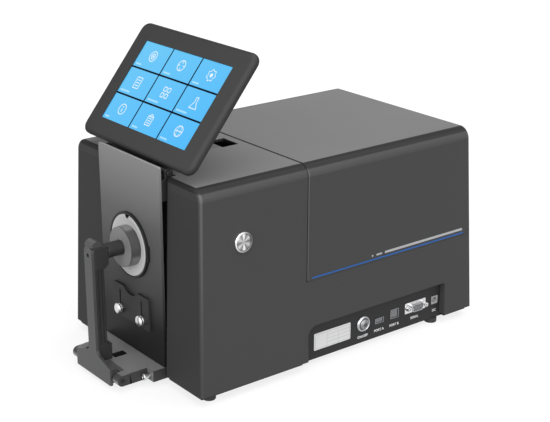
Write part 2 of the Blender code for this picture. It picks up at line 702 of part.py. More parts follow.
def connector_panel(tray):
    box("connector_label", (PANEL_FACE + SEAT, LABEL_FRONT, LABEL_LOW),
        (PANEL_FACE + SEAT + LABEL_THICKNESS, LABEL_REAR, LABEL_HIGH), label_grey)
    power_switch(tray)
    usb_a = socket("usb_a_socket", tray, USB_A_PLACE, USB_A_SIZE, silver)
    join(usb_a, tongue("usb_a_tongue", USB_A_PLACE, USB_A_SIZE, USB_A_TONGUE_SHARES, USB_A_SIZE[1] / 8))
    usb_b = socket("usb_b_socket", tray, USB_B_PLACE, USB_B_SIZE, silver)
    join(usb_b, tongue("usb_b_tongue", USB_B_PLACE, USB_B_SIZE, USB_B_TONGUE_SHARES, 0))
    serial_port(tray)
    y, z = DC_PLACE
    jack = socket("dc_jack", tray, DC_PLACE, DC_SIZE, black, SOCKET_WALL)
    face = PANEL_FACE + SOCKET_STAND
    cut(jack, cylinder("dc_bore", DC_BORE, (face - SOCKET_DEPTH, y, z), (face + OVERRUN, y, z), sides=SMALL))
    join(jack, cylinder("dc_pin", DC_PIN, (face - SOCKET_DEPTH - OVERRUN / 2, y, z), (face - SOCKET_WALL, y, z),
                        sides=8))
    box("connector_board", (CONNECTOR_BOARD_FACE - BOARD_THICKNESS, POWER_PLACE[0] - POWER_RING_RADIUS,
                            TRAY_THICKNESS - TRAY_DROP + SEAT),
        (CONNECTOR_BOARD_FACE, DC_PLACE[0] + DC_SIZE[0], RECESS_TOP), board_green)


def tongue(name, place, size, shares, rise):
    """The contact tongue inside a socket."""
    face = PANEL_FACE + SOCKET_STAND
    half = size[0] * shares[0] / 2
    tall = size[1] * shares[1] / 2
    y, z = place
    return box(name, (face - SOCKET_DEPTH - OVERRUN / 2, y - half, z + rise - tall),
               (face - 2 * SOCKET_WALL, y + half, z + rise + tall))


def board_green(name):
    return paint(name, (0.02, 0.09, 0.03), 0.5)


def label_grey(name):
    return paint(name, (0.6, 0.6, 0.6), 0.5)


# Measure button on the right side
MEASURE_STAND = 0.0016
MEASURE_CAP_RADIUS = 0.0084
MEASURE_TRAVEL = 0.0012
MEASURE_DEPTH = 0.010


def measure_button():
    normal = side_normal()
    centre = measure_centre()
    bore = MEASURE_CAP_RADIUS + SEAT
    neck = MEASURE_RADIUS - MEASURE_LIP - SEAT
    floor = WALL / 2 - MEASURE_DEPTH
    stand = MEASURE_STAND + SEAT
    ring = [(MEASURE_RADIUS - MEASURE_STAND / 2, stand), (MEASURE_RADIUS, stand / 2), (MEASURE_RADIUS, SEAT),
            (neck, SEAT), (neck, -MEASURE_DEPTH), (neck - WALL, -MEASURE_DEPTH), (neck - WALL, floor),
            (bore, floor), (bore, stand)]
    turned("measure_button_ring", ring, centre, normal, silver, closed=True)
    seat = floor + MEASURE_TRAVEL + 2 * SEAT
    slide = pivot("measure_button_slide", centre, case, (0, math.atan2(BODY_HEIGHT, DRAFT), 0))
    top = MEASURE_STAND
    cap = [(0, top), (MEASURE_CAP_RADIUS - MEASURE_STAND / 2, top), (MEASURE_CAP_RADIUS, top / 2),
           (MEASURE_CAP_RADIUS, seat), (0, seat)]
    turned("measure_button", cap, (0, 0, 0), (0, 0, 1), silver, slide)


# Front plate, the tube round the port and the port mask
PLATE_CORNER = 0.0015
SHELF_TOP = 0.0085
BEZEL_RADIUS = 0.0354
BEZEL_FLANGE = 0.0031
TUBE_RADIUS = 0.034
TUBE_BORE = 0.0325
MASK_RADIUS = 0.0322
MASK_STAND = 0.0033
MASK_FACE = 0.0008
MASK_DISH_OUTER = 0.0295
MASK_DISH_INNER = 0.0225
MASK_REAR = 0.003
MASK_EDGE_SHARE = 0.7
APERTURE_RADIUS = 0.0127
TAB_WIDTH = 0.0030
TAB_HALF_HEIGHT = 0.0085
TAB_STAND = 0.0028
REST_SCREW_X = 0.0204
REST_BELOW_PORT = 0.049
REST_RISE = 0.035
REST_SCREW_RISE = 0.008
REST_HIGH = PORT_HEIGHT - REST_BELOW_PORT
REST_LOW = REST_HIGH - REST_RISE
REST_SCREW_HEIGHT = REST_LOW + REST_SCREW_RISE
REST_SHANK_RADIUS = 0.0009


def corner_outline(half, low, high, radius, steps=4):
    """A rectangle, x from -half to half, with rounded upper corners."""
    outline = [(-half, low), (half, low)]
    outline += arc((half - radius, high - radius), radius, 0, 90, steps)
    outline += arc((radius - half, high - radius), radius, 90, 180, steps)
    return outline


def front_plate():
    outline = corner_outline(PLATE_HALF_WIDTH, SHELF_TOP + SEAT, BODY_HEIGHT + PLATE_RISE, PLATE_CORNER)
    plate = slab("front_plate", outline, 0, PLATE_THICKNESS, "y", grey_metal)
    cut(plate, cylinder("plate_port", TUBE_RADIUS + SEAT, (0, -OVERRUN, PORT_HEIGHT),
                        (0, PLATE_THICKNESS + OVERRUN, PORT_HEIGHT), sides=FINE))
    for across in (-1, 1):
        x = across * REST_SCREW_X
        cut(plate, cylinder(f"plate_hole_{across}", REST_SHANK_RADIUS + SEAT,
                            (x, -OVERRUN, REST_SCREW_HEIGHT), (x, PLATE_THICKNESS + OVERRUN, REST_SCREW_HEIGHT),
                            sides=TINY))


def port():
    base = CHANNEL_DEPTH - SEAT
    face = base + SEAT + BEZEL_FLANGE
    tube = [(BEZEL_RADIUS, face), (BEZEL_RADIUS, face - BEZEL_FLANGE), (TUBE_RADIUS, face - BEZEL_FLANGE),
            (TUBE_RADIUS, 0), (TUBE_BORE, 0), (TUBE_BORE, face)]
    bezel = turned("port_bezel", tube, (0, base, PORT_HEIGHT), (0, -1, 0), black, closed=True, sides=FINE)
    tab = TUBE_BORE + WALL / 6
    join(bezel, box("bezel_tab", (tab, -TAB_STAND, PORT_HEIGHT - TAB_HALF_HEIGHT),
                    (tab + TAB_WIDTH, -SEAT, PORT_HEIGHT + TAB_HALF_HEIGHT)))
    rear_face = MASK_REAR
    mask = [(MASK_DISH_OUTER, rear_face + MASK_STAND), (MASK_RADIUS - MASK_STAND / 4, rear_face + MASK_STAND),
            (MASK_RADIUS, rear_face + MASK_STAND * MASK_EDGE_SHARE), (MASK_RADIUS, 0), (APERTURE_RADIUS, 0),
            (APERTURE_RADIUS, rear_face + MASK_FACE), (MASK_DISH_INNER, rear_face + MASK_FACE)]
    turned("aperture_mask", mask, (0, rear_face, PORT_HEIGHT), (0, -1, 0), silver, closed=True, sides=FINE)


# Sample rest under the port, held by two thumbscrews through its slots
REST_HALF_WIDTH = 0.034
REST_THICKNESS = 0.0025
REST_CORNER = 0.003
SCOOP_HALF_WIDTH = 0.0135
SCOOP_DEPTH = 0.006
REST_TRAVEL = 0.020
THUMB_HEAD_RADIUS = 0.0058
THUMB_HEAD_LENGTH = 0.0030
THUMB_WIDTH_SHARES = (0.5, 0.86, 1, 0.94)
THUMB_DROP_SHARES = (1 / 12, 1 / 3, 0.6, 1)
THUMB_NECK_RADIUS = 0.0032
THUMB_NECK_LENGTH = 0.0016
THUMB_FLANGE_RADIUS = 0.0050
THUMB_FLANGE_LENGTH = 0.0009


def sample_rest():
    slide = pivot("sample_rest_slide", (0, 0, 0), case)
    radius = (SCOOP_HALF_WIDTH ** 2 + SCOOP_DEPTH ** 2) / (2 * SCOOP_DEPTH)
    swing = math.degrees(math.asin(SCOOP_HALF_WIDTH / radius))
    outline = [(-REST_HALF_WIDTH, REST_LOW), (REST_HALF_WIDTH, REST_LOW)]
    outline += arc((REST_HALF_WIDTH - REST_CORNER, REST_HIGH - REST_CORNER), REST_CORNER, 0, 90, 3)
    outline += arc((0, REST_HIGH - SCOOP_DEPTH + radius), radius, 270 + swing, 270 - swing, 10)
    outline += arc((REST_CORNER - REST_HALF_WIDTH, REST_HIGH - REST_CORNER), REST_CORNER, 90, 180, 3)
    front = -SEAT - REST_THICKNESS
    rest = slab("sample_rest", outline, front, -SEAT, "y", grey_metal, slide)
    slot = REST_SHANK_RADIUS + SEAT
    for across in (-1, 1):
        x = across * REST_SCREW_X
        cut(rest, box(f"rest_slot_{across}", (x - slot, front - OVERRUN, REST_SCREW_HEIGHT - slot),
                      (x + slot, OVERRUN, REST_SCREW_HEIGHT + REST_TRAVEL + slot)))
    seat = REST_THICKNESS + 2 * SEAT
    neck = THUMB_FLANGE_LENGTH + THUMB_NECK_LENGTH
    top = neck + THUMB_HEAD_LENGTH
    shank_end = -seat - PLATE_THICKNESS - WALL
    profile = [(0, top)]
    profile += [(THUMB_HEAD_RADIUS * width, top - THUMB_HEAD_LENGTH * drop)
                for width, drop in zip(THUMB_WIDTH_SHARES, THUMB_DROP_SHARES)]
    profile += [(THUMB_NECK_RADIUS, neck), (THUMB_NECK_RADIUS, THUMB_FLANGE_LENGTH),
                (THUMB_FLANGE_RADIUS, THUMB_FLANGE_LENGTH), (THUMB_FLANGE_RADIUS, 0), (REST_SHANK_RADIUS, 0),
                (REST_SHANK_RADIUS, shank_end), (0, shank_end)]
    for across, side in ((-1, "left"), (1, "right")):
        turn = pivot(f"thumbscrew_{side}_turn", (across * REST_SCREW_X, -seat, REST_SCREW_HEIGHT), case)
        turned(f"thumbscrew_{side}", profile, (0, 0, 0), (0, -1, 0), silver, turn)


# Clamp bracket: the shelf under the plate, its upstand behind it, and the two hinge cheeks
SHELF_BOTTOM = -0.0033
SHELF_FRONT = -0.034
SHELF_SHOULDER = -0.0135
CHEEK_OUTER = 0.045
CHEEK_INNER = 0.035
CHEEK_RADIUS = 0.0058
UPSTAND_INSET = 0.006
UPSTAND_HALF_WIDTH = PLATE_HALF_WIDTH - UPSTAND_INSET
UPSTAND_BELOW_SCREWS = 0.009
UPSTAND_TOP = REST_SCREW_HEIGHT - UPSTAND_BELOW_SCREWS
SHELF_SLOT_HALF_WIDTH = 0.005
SHELF_SLOT_FRONT = -0.027
SHELF_SLOT_REAR = -0.012
STOP_INSET = 0.0063
STOP_X = PLATE_HALF_WIDTH - STOP_INSET
STOP_HEIGHT = 0.002
STOP_HEAD_RADIUS = 0.0036
STOP_HEAD_LENGTH = 0.0035
STOP_EDGE_SHARE = 0.8
STOP_SHANK_RADIUS = 0.0022
STOP_SHANK_LENGTH = 0.0045
PIN_RADIUS = 0.002
PIN_STAND = 0.0012
SPRING_WIRE = 0.0009
SPRING_RADIUS = 0.0031
SPRING_PITCH = 0.0016
SPRING_CURLS = 7
SPRING_PART_TURN = 0.75
SPRING_START = 0.013
SPRING_POINTS = 10
SPRING_LEG = 0.009
SPRING_FRONT_LEG = 0.0068


def clamp_bracket():
    back = CHANNEL_DEPTH - SEAT
    bracket = box("clamp_bracket", (-PLATE_HALF_WIDTH, SHELF_SHOULDER, SHELF_BOTTOM),
                  (PLATE_HALF_WIDTH, back, SHELF_TOP), grey_metal)
    join(bracket, box("shelf_front", (-CHEEK_OUTER, SHELF_FRONT, SHELF_BOTTOM),
                      (CHEEK_OUTER, SHELF_SHOULDER + OVERRUN, SHELF_TOP)))
    join(bracket, box("upstand", (-UPSTAND_HALF_WIDTH, PLATE_THICKNESS + SEAT, SHELF_TOP - OVERRUN),
                      (UPSTAND_HALF_WIDTH, back, UPSTAND_TOP)))
    centre = (CLAMP_AXIS_Y, CLAMP_AXIS_HEIGHT)
    outline = arc(centre, CHEEK_RADIUS, 90, 270, 10)
    outline += [(SHELF_FRONT + OVERRUN, SHELF_BOTTOM), (SHELF_FRONT + OVERRUN, SHELF_TOP - SEAT)]
    for across, side in ((-1, "left"), (1, "right")):
        near, far = sorted((across * CHEEK_INNER, across * CHEEK_OUTER))
        join(bracket, slab(f"cheek_{side}", outline, near, far, "x"))
    cut(bracket, box("shelf_slot", (-SHELF_SLOT_HALF_WIDTH, SHELF_SLOT_FRONT, SHELF_BOTTOM - OVERRUN),
                     (SHELF_SLOT_HALF_WIDTH, SHELF_SLOT_REAR, SHELF_TOP + OVERRUN)))
    bore = CHEEK_OUTER + OVERRUN
    cut(bracket, cylinder("bracket_bore", PIN_RADIUS + SEAT, (-bore, *centre), (bore, *centre), sides=SMALL))
    hole_height = CLAMP_AXIS_HEIGHT - SPRING_RADIUS
    for across, x in spring_ends():
        cut(bracket, cylinder(f"spring_hole_{across}", SPRING_WIRE / 2 + SEAT,
                              (x, SHELF_FRONT - OVERRUN, hole_height),
                              (x, SHELF_FRONT + SPRING_LEG, hole_height), sides=8))
    stop_end = STOP_SHANK_LENGTH + STOP_HEAD_LENGTH
    stop_edge = STOP_SHANK_LENGTH + STOP_HEAD_LENGTH * STOP_EDGE_SHARE
    stop = [(0, stop_end), (STOP_HEAD_RADIUS - SEAT, stop_end), (STOP_HEAD_RADIUS, stop_edge),
            (STOP_HEAD_RADIUS, STOP_SHANK_LENGTH), (STOP_SHANK_RADIUS, STOP_SHANK_LENGTH),
            (STOP_SHANK_RADIUS, 0), (0, 0)]
    for across, side in ((-1, "left"), (1, "right")):
        turned(f"bracket_screw_{side}", stop, (across * STOP_X, SHELF_SHOULDER - SEAT, STOP_HEIGHT),
               (0, -1, 0), silver, sides=SMALL)
    end = CHEEK_OUTER + PIN_STAND
    cylinder("clamp_pin", PIN_RADIUS, (-end, *centre), (end, *centre), silver, sides=SMALL)


def spring_ends():
    """Side and x of each spring's outer end, where its leg runs back into the shelf."""
    length = SPRING_PITCH * SPRING_CURLS
    for across in (-1, 1):
        yield across, across * (SPRING_START + length)


def least_gap(points):
    """Smallest distance between the spring's wire and itself, half a turn or more along it."""
    apart = SPRING_POINTS // 2
    spots = [Vector(point) for point in points]
    pairs = [(spots[i] - spots[j]).length for i in range(len(spots)) for j in range(i + apart, len(spots))]
    return min(pairs) - SPRING_WIRE


def clamp_spring(name, across, finish):
    """A torsion spring on the pin: one leg down behind the arm's foot, one back into the shelf."""
    y, z = CLAMP_AXIS_Y, CLAMP_AXIS_HEIGHT
    turns = SPRING_CURLS + SPRING_PART_TURN
    count = int(turns * SPRING_POINTS)
    x = across * SPRING_START
    points = [(x, y - SPRING_RADIUS, z - SPRING_FRONT_LEG), (x, y - SPRING_RADIUS, z - SPRING_FRONT_LEG / 2)]
    for step in range(count + 1):
        angle = 2 * math.pi * turns * step / count
        along = x + across * SPRING_PITCH * SPRING_CURLS * step / count
        points.append((along, y - SPRING_RADIUS * math.cos(angle), z + SPRING_RADIUS * math.sin(angle)))
    last = points[-1]
    points.append((last[0], SHELF_FRONT - SPRING_WIRE, last[2]))
    points.append((last[0], SHELF_FRONT + SPRING_LEG / 2, last[2]))
    curve = bpy.data.curves.new(name, "CURVE")
    curve.dimensions = "3D"
    curve.bevel_depth = SPRING_WIRE / 2
    curve.bevel_resolution = 1
    curve.use_fill_caps = True
    spline = curve.splines.new("POLY")
    spline.points.add(len(points) - 1)
    for point, place_at in zip(spline.points, points):
        point.co = (*place_at, 1)
    place(name, curve, case, finish)
    print(f"{name}: least gap to itself {least_gap(points) / MILLIMETRE:.2f} mm")


# Clamp arm: the front bar with its foot and finger lug, the grooved spine, the head and the presser
BAR_HALF_WIDTH = 0.0072
BAR_THICKNESS = 0.0033
ARM_FOOT_HALF_WIDTH = 0.033
ARM_FOOT_LOW = -0.006
ARM_FOOT_END_TOP = 0.012
ARM_FOOT_MIDDLE_TOP = 0.018
ARM_FOOT_FILLET = 0.0065
EAR_WIDTH = 0.005
EAR_REAR = -0.0385
EAR_LOW = -0.0035
EAR_HIGH = 0.008
HEAD_BELOW_PORT = 0.0155
HEAD_ABOVE_PORT = 0.008
HEAD_LOW = PORT_HEIGHT - HEAD_BELOW_PORT
HEAD_HIGH = PORT_HEIGHT + HEAD_ABOVE_PORT
HEAD_REAR = -0.0303
HEAD_CHAMFER = 0.004
LUG_ABOVE_HEAD = 0.007
LUG_TOP = HEAD_HIGH + LUG_ABOVE_HEAD
LUG_REAR = -0.037
LUG_SETBACK_SHARE = 0.25
SPINE_REAR = -0.036
SPINE_HALF_WIDTH = 0.0066
SPINE_LOW = 0.020
GROOVE_WIDTH = 0.0018
GROOVE_DEPTH = 0.0012
GROOVE_SHARES = (0.3, 0.68)
ARM_BLOCK_HALF_WIDTH = 0.0063
ARM_BLOCK_LOW = 0.0095
ARM_BLOCK_HIGH = 0.0265
ARM_BLOCK_REAR = -0.0306
BAR_HOLE_RADIUS = 0.0022
BAR_ABOVE_HEAD = 0.0018
ROD_RADIUS = 0.0077
ROD_GROOVE = 0.0006
ROD_GROOVE_Y = -0.007
CUP_RADIUS = 0.021
CUP_DEPTH = 0.0112
CUP_RIM = 0.0012
CUP_FLOOR = 0.002
CUP_DISH_RADIUS = 0.0165
CUP_RECESS_RADIUS = 0.017
CUP_RECESS_DEPTH = 0.0012
ROD_SCREW_Y = -0.0112
ROD_SCREW_RADIUS = 0.0015
ROD_SCREW_SHANK = 0.0009
ROD_SCREW_HEIGHT = 0.001


def carry(thing, empty):
    """Hang a piece that was placed in the case frame on an empty of the case frame."""
    thing.parent = empty
    thing.location = thing.location - empty.location
    return thing


def clamp_arm():
    arm = pivot("clamp_hinge", (0, CLAMP_AXIS_Y, CLAMP_AXIS_HEIGHT), case)
    front = -CLAMP_REACH
    back = front + BAR_THICKNESS
    fillet = ARM_FOOT_FILLET
    middle = ARM_FOOT_MIDDLE_TOP
    right = [(ARM_FOOT_HALF_WIDTH, ARM_FOOT_LOW), (ARM_FOOT_HALF_WIDTH, ARM_FOOT_END_TOP)]
    right += arc((BAR_HALF_WIDTH + fillet, middle + fillet), fillet, 270, 180, 5)
    top = arc((0, HEAD_HIGH + BAR_ABOVE_HEAD - BAR_HALF_WIDTH), BAR_HALF_WIDTH, 0, 180, 12)
    outline = right + top + [(-x, z) for x, z in reversed(right)]
    bar = carry(slab("clamp_front_bar", outline, front, back, "y", grey_metal), arm)
    lug_low = HEAD_HIGH + SEAT
    lug_front = front + BAR_THICKNESS * LUG_SETBACK_SHARE
    radius = (LUG_REAR - lug_front) / 2
    lug = [(lug_front + radius / 4, lug_low), (LUG_REAR, lug_low)]
    lug += arc((lug_front + radius, LUG_TOP - radius), radius, 0, 180, 10)
    join(bar, slab("finger_lug", lug, -BAR_HALF_WIDTH + SEAT, BAR_HALF_WIDTH - SEAT, "x"))
    for across in (-1, 1):
        near, far = sorted((across * (ARM_FOOT_HALF_WIDTH - EAR_WIDTH), across * ARM_FOOT_HALF_WIDTH))
        join(bar, box(f"ear_{across}", (near, back - SEAT, EAR_LOW), (far, EAR_REAR, EAR_HIGH)))
    centre = (CLAMP_AXIS_Y, CLAMP_AXIS_HEIGHT)
    bore = ARM_FOOT_HALF_WIDTH + OVERRUN
    cut(bar, cylinder("ear_bore", PIN_RADIUS + SEAT, (-bore, *centre), (bore, *centre), sides=SMALL))
    cut(bar, cylinder("bar_hole", BAR_HOLE_RADIUS, (0, front - OVERRUN, PORT_HEIGHT),
                      (0, back + OVERRUN, PORT_HEIGHT), sides=SMALL))
    start = back + SEAT
    spine = carry(box("clamp_spine", (-SPINE_HALF_WIDTH, start, SPINE_LOW),
                      (SPINE_HALF_WIDTH, SPINE_REAR, HEAD_LOW - SEAT), charcoal), arm)
    join(spine, box("spine_block", (-ARM_BLOCK_HALF_WIDTH, start, ARM_BLOCK_LOW),
                    (ARM_BLOCK_HALF_WIDTH, ARM_BLOCK_REAR, ARM_BLOCK_HIGH)))
    for share in GROOVE_SHARES:
        y = start + (SPINE_REAR - start) * share
        for across in (-1, 1):
            floor = across * (SPINE_HALF_WIDTH - GROOVE_DEPTH)
            near, far = sorted((floor, across * (SPINE_HALF_WIDTH + OVERRUN)))
            cut(spine, box(f"spine_groove_{across}_{share}",
                           (near, y - GROOVE_WIDTH / 2, ARM_BLOCK_HIGH + OVERRUN),
                           (far, y + GROOVE_WIDTH / 2, HEAD_LOW + OVERRUN)))
    block = [(start, HEAD_LOW), (HEAD_REAR - HEAD_CHAMFER, HEAD_LOW), (HEAD_REAR, HEAD_LOW + HEAD_CHAMFER),
             (HEAD_REAR, HEAD_HIGH), (start, HEAD_HIGH)]
    carry(slab("clamp_head", block, -BAR_HALF_WIDTH, BAR_HALF_WIDTH, "x", charcoal), arm)
    presser(arm)


def presser(arm):
    """The cup that presses the sample: a dish open to the arm, with the rod standing on its floor."""
    cup_rim = -MASK_FACE - SEAT
    dish_floor = CUP_RECESS_DEPTH + CUP_FLOOR
    cup = [(0, dish_floor), (CUP_DISH_RADIUS, dish_floor), (CUP_RADIUS - CUP_RIM, CUP_DEPTH),
           (CUP_RADIUS, CUP_DEPTH), (CUP_RADIUS, 0), (CUP_RECESS_RADIUS, 0),
           (CUP_RECESS_RADIUS, CUP_RECESS_DEPTH), (0, CUP_RECESS_DEPTH)]
    carry(turned("presser_cup", cup, (0, cup_rim, PORT_HEIGHT), (0, -1, 0), grey_metal, sides=FINE), arm)
    start = cup_rim - dish_floor - SEAT
    length = start - HEAD_REAR - SEAT
    collar = start - ROD_GROOVE_Y
    shaft = ROD_RADIUS - ROD_GROOVE
    rod = [(0, length), (ROD_RADIUS, length), (ROD_RADIUS, collar + ROD_GROOVE), (shaft, collar + ROD_GROOVE),
           (shaft, collar), (ROD_RADIUS, collar), (ROD_RADIUS, 0), (0, 0)]
    bar = carry(turned("presser_rod", rod, (0, start, PORT_HEIGHT), (0, -1, 0), charcoal), arm)
    top = PORT_HEIGHT + ROD_RADIUS
    cut(bar, cylinder("rod_screw_hole", ROD_SCREW_SHANK + SEAT, (0, ROD_SCREW_Y, top - ROD_RADIUS / 2),
                      (0, ROD_SCREW_Y, top + OVERRUN), sides=TINY))
    screw = [(0, ROD_SCREW_HEIGHT), (ROD_SCREW_RADIUS, ROD_SCREW_HEIGHT), (ROD_SCREW_RADIUS, 0),
             (ROD_SCREW_SHANK, 0), (ROD_SCREW_SHANK, -ROD_RADIUS / 3), (0, -ROD_RADIUS / 3)]
    carry(turned("rod_screw", screw, (0, ROD_SCREW_Y, top + SEAT), (0, 0, 1), silver, sides=TINY), arm)


# Hinge of the display: a base in the channel behind the plate, its pin, and the leaf on the display
HINGE_BASE_BELOW_TOP = 0.0035
HINGE_BASE_RISE = 0.0215
HINGE_BASE_HIGH = BODY_HEIGHT - HINGE_BASE_BELOW_TOP
HINGE_BASE_LOW = HINGE_BASE_HIGH - HINGE_BASE_RISE
HINGE_EAR_WIDTH = 0.008
HINGE_EAR_RADIUS = 0.0048
HINGE_PIN_RADIUS = 0.0018
HINGE_CAP_RADIUS = 0.0028
HINGE_CAP_LENGTH = 0.0015
LEAF_BARREL_RADIUS = 0.0042
LEAF_THICKNESS = 0.0022
LEAF_LENGTH = 0.030
LEAF_RISE = 0.0032


def display_hinge():
    front = PLATE_THICKNESS + SEAT
    back = CHANNEL_DEPTH - SEAT
    base = box("hinge_base", (-PLATE_HALF_WIDTH, front, HINGE_BASE_LOW),
               (PLATE_HALF_WIDTH, back, HINGE_BASE_HIGH), black)
    y, z = DISPLAY_AXIS_Y, DISPLAY_AXIS_HEIGHT
    ear_foot = HINGE_BASE_HIGH - OVERRUN
    ear = [(y - HINGE_EAR_RADIUS, ear_foot), (y + HINGE_EAR_RADIUS, ear_foot)]
    ear += arc((y, z), HINGE_EAR_RADIUS, 0, 180, 8)
    for across in (-1, 1):
        near, far = sorted((across * (PLATE_HALF_WIDTH - HINGE_EAR_WIDTH), across * PLATE_HALF_WIDTH))
        join(base, slab(f"hinge_ear_{across}", ear, near, far, "x"))
    bore = PLATE_HALF_WIDTH + OVERRUN
    cut(base, cylinder("hinge_bore", HINGE_PIN_RADIUS + SEAT, (-bore, y, z), (bore, y, z), sides=SMALL))
    end = PLATE_HALF_WIDTH + SEAT
    pin = [(0, end + HINGE_CAP_LENGTH), (HINGE_CAP_RADIUS, end + HINGE_CAP_LENGTH), (HINGE_CAP_RADIUS, end),
           (HINGE_PIN_RADIUS, end), (HINGE_PIN_RADIUS, -end), (HINGE_CAP_RADIUS, -end),
           (HINGE_CAP_RADIUS, -end - HINGE_CAP_LENGTH), (0, -end - HINGE_CAP_LENGTH)]
    turned("hinge_pin", pin, (0, y, z), (1, 0, 0), silver, sides=SMALL)


# Display: leaf, rear shell, bezel, glass and module, in the hinge's own leaning frame, where y runs
# up the screen and z out of it
DISPLAY_CORNER = 0.009
RIM_RADIUS = 0.0046
GLASS_MARGIN = 0.0025
GLASS_THICKNESS = 0.0016
LIP_THICKNESS = 0.0008
MODULE_MARGIN = 0.002
SHELL_WALL = 0.0018


def display():
    hinge = pivot("display_hinge", (0, DISPLAY_AXIS_Y, DISPLAY_AXIS_HEIGHT), case, (DISPLAY_TILT, 0, 0))
    inner = PLATE_HALF_WIDTH - HINGE_EAR_WIDTH - SEAT
    leaf = cylinder("display_leaf", LEAF_BARREL_RADIUS, (-inner, 0, 0), (inner, 0, 0), black, hinge, SMALL)
    join(leaf, box("leaf_plate", (-inner, 0, 0), (inner, LEAF_RISE + LEAF_LENGTH, LEAF_THICKNESS), None,
                   hinge))
    cut(leaf, cylinder("leaf_bore", HINGE_PIN_RADIUS + SEAT, (-PLATE_HALF_WIDTH, 0, 0),
                       (PLATE_HALF_WIDTH, 0, 0), None, hinge, SMALL))
    low = LEAF_RISE
    middle = low + DISPLAY_HEIGHT / 2
    half = DISPLAY_WIDTH / 2
    rear_face = LEAF_THICKNESS + SEAT
    split = rear_face + DISPLAY_THICKNESS / 2
    front = rear_face + DISPLAY_THICKNESS
    high = low + DISPLAY_HEIGHT
    back = rounded_shell("display_back", (-half, low, rear_face), (half, high, split - SEAT / 2), hinge, -1)
    screen = (SCREEN_WIDTH / 2, SCREEN_HEIGHT / 2)
    glass = (screen[0] + GLASS_MARGIN, screen[1] + GLASS_MARGIN)
    module = (glass[0] + MODULE_MARGIN, glass[1] + MODULE_MARGIN)

    def window(name, size, start, end, finish=None):
        return box(name, (-size[0], middle - size[1], start), (size[0], middle + size[1], end), finish, hinge)

    cut(back, window("back_pocket", module, rear_face + SHELL_WALL, split + OVERRUN))
    bezel = rounded_shell("display_bezel", (-half, low, split + SEAT / 2), (half, high, front), hinge, 1)
    cut(bezel, window("screen_window", screen, split - OVERRUN, front + OVERRUN))
    cut(bezel, window("bezel_pocket", module, split - OVERRUN, front - LIP_THICKNESS))
    glass_top = front - LIP_THICKNESS - SEAT
    window("touch_screen", glass, glass_top - GLASS_THICKNESS, glass_top, screen_blue)
    shrunk = (module[0] - SEAT, module[1] - SEAT)
    window("display_module", shrunk, rear_face + SHELL_WALL + SEAT, glass_top - GLASS_THICKNESS - SEAT, black)


def screen_blue(name):
    return paint(name, (0.03, 0.3, 0.6), 0.2)


def rounded_shell(name, low, high, parent, outward):
    """Half of the display's case: rounded corners, and a round rim on the face that outward points to."""
    low = Vector(low)
    high = Vector(high)
    bm = bmesh.new()
    bmesh.ops.create_cube(bm, size=1)
    bmesh.ops.scale(bm, vec=high - low, verts=bm.verts)
    round_edges(bm, [e for e in bm.edges if upright(e)], DISPLAY_CORNER, 5)
    outer = [e for e in bm.edges if min(outward * v.co.z for v in e.verts) > 0]
    round_edges(bm, outer, RIM_RADIUS, 4)
    shell = place(name, mesh_from(bm, name), parent, charcoal)
    shell.location = (low + high) / 2
    smooth(shell.data)
    return shell


# Ribbon from the display's hinge along the groove and down through the cable port
RIBBON_THICKNESS = 0.0008
RIBBON_DROP = 0.014


def display_ribbon():
    low = BODY_HEIGHT - RIBBON_GROOVE + SEAT
    high = low + RIBBON_THICKNESS
    front = CHANNEL_DEPTH + SEAT
    bend = CABLE_PORT_FRONT + SEAT
    end = low - RIBBON_DROP
    outline = [(front, low), (bend, low), (bend, end), (bend + RIBBON_THICKNESS, end),
               (bend + RIBBON_THICKNESS, high), (front, high)]
    half = RIBBON_WIDTH / 2
    slab("display_ribbon", outline, CABLE_PORT_X - half, CABLE_PORT_X + half, "x", black)


# Integrating sphere, its lamp, its viewing optics and the boards
SPHERE_RADIUS = 0.047
SPHERE_WALL = 0.003
SPHERE_FLANGE = 0.004
NECK_RADIUS = 0.023
NECK_FLANGE_RADIUS = 0.027
REAR_PORT_RADIUS = 0.010
LAMP_PORT_RADIUS = 0.0065
LAMP_WIDTH = 0.030
LAMP_LENGTH = 0.034
LAMP_HEADROOM = 0.0067
LAMP_TUBE_RADIUS = 0.005
VIEW_ANGLE = math.radians(8)
SPHERE_STEPS = 7
CRADLE_HALF_WIDTH = 0.026
CRADLE_DEPTH = 0.040
CRADLE_BELOW_PORT = 0.037
CRADLE_TOP = PORT_HEIGHT - CRADLE_BELOW_PORT
SPECTROMETER_INSET = 0.010
SPECTROMETER_CLEARANCE = 0.011
SPECTROMETER_LOW_X = SPECTROMETER_INSET - BODY_WIDTH / 2
SPECTROMETER_HIGH_X = -SPHERE_RADIUS - SPECTROMETER_CLEARANCE
SPECTROMETER_FRONT = 0.044
SPECTROMETER_AHEAD_OF_SEAM = 0.0075
SPECTROMETER_REAR = SEAM_SETBACK - SPECTROMETER_AHEAD_OF_SEAM
SPECTROMETER_HEIGHT = 0.062
MAIN_BOARD_INSETS = (0.027, 0.062)
MAIN_BOARD_BEHIND_SEAM = 0.0205
MAIN_BOARD_TO_REAR = 0.035
MAIN_BOARD_X = (MAIN_BOARD_INSETS[0] - BODY_WIDTH / 2, BODY_WIDTH / 2 - MAIN_BOARD_INSETS[1])
MAIN_BOARD_Y = (SEAM_SETBACK + MAIN_BOARD_BEHIND_SEAM, BODY_LENGTH - MAIN_BOARD_TO_REAR)
BOARD_LIFT = 0.006
BOARD_CHIP = (0.018, 0.018, 0.002)
POWER_CORE = (0.024, 0.030, 0.022)


def sphere_white(name):
    return paint(name, (0.7, 0.7, 0.7), 0.6)


def glass_clear(name):
    return paint(name, (0.85, 0.85, 0.85), 0.08)


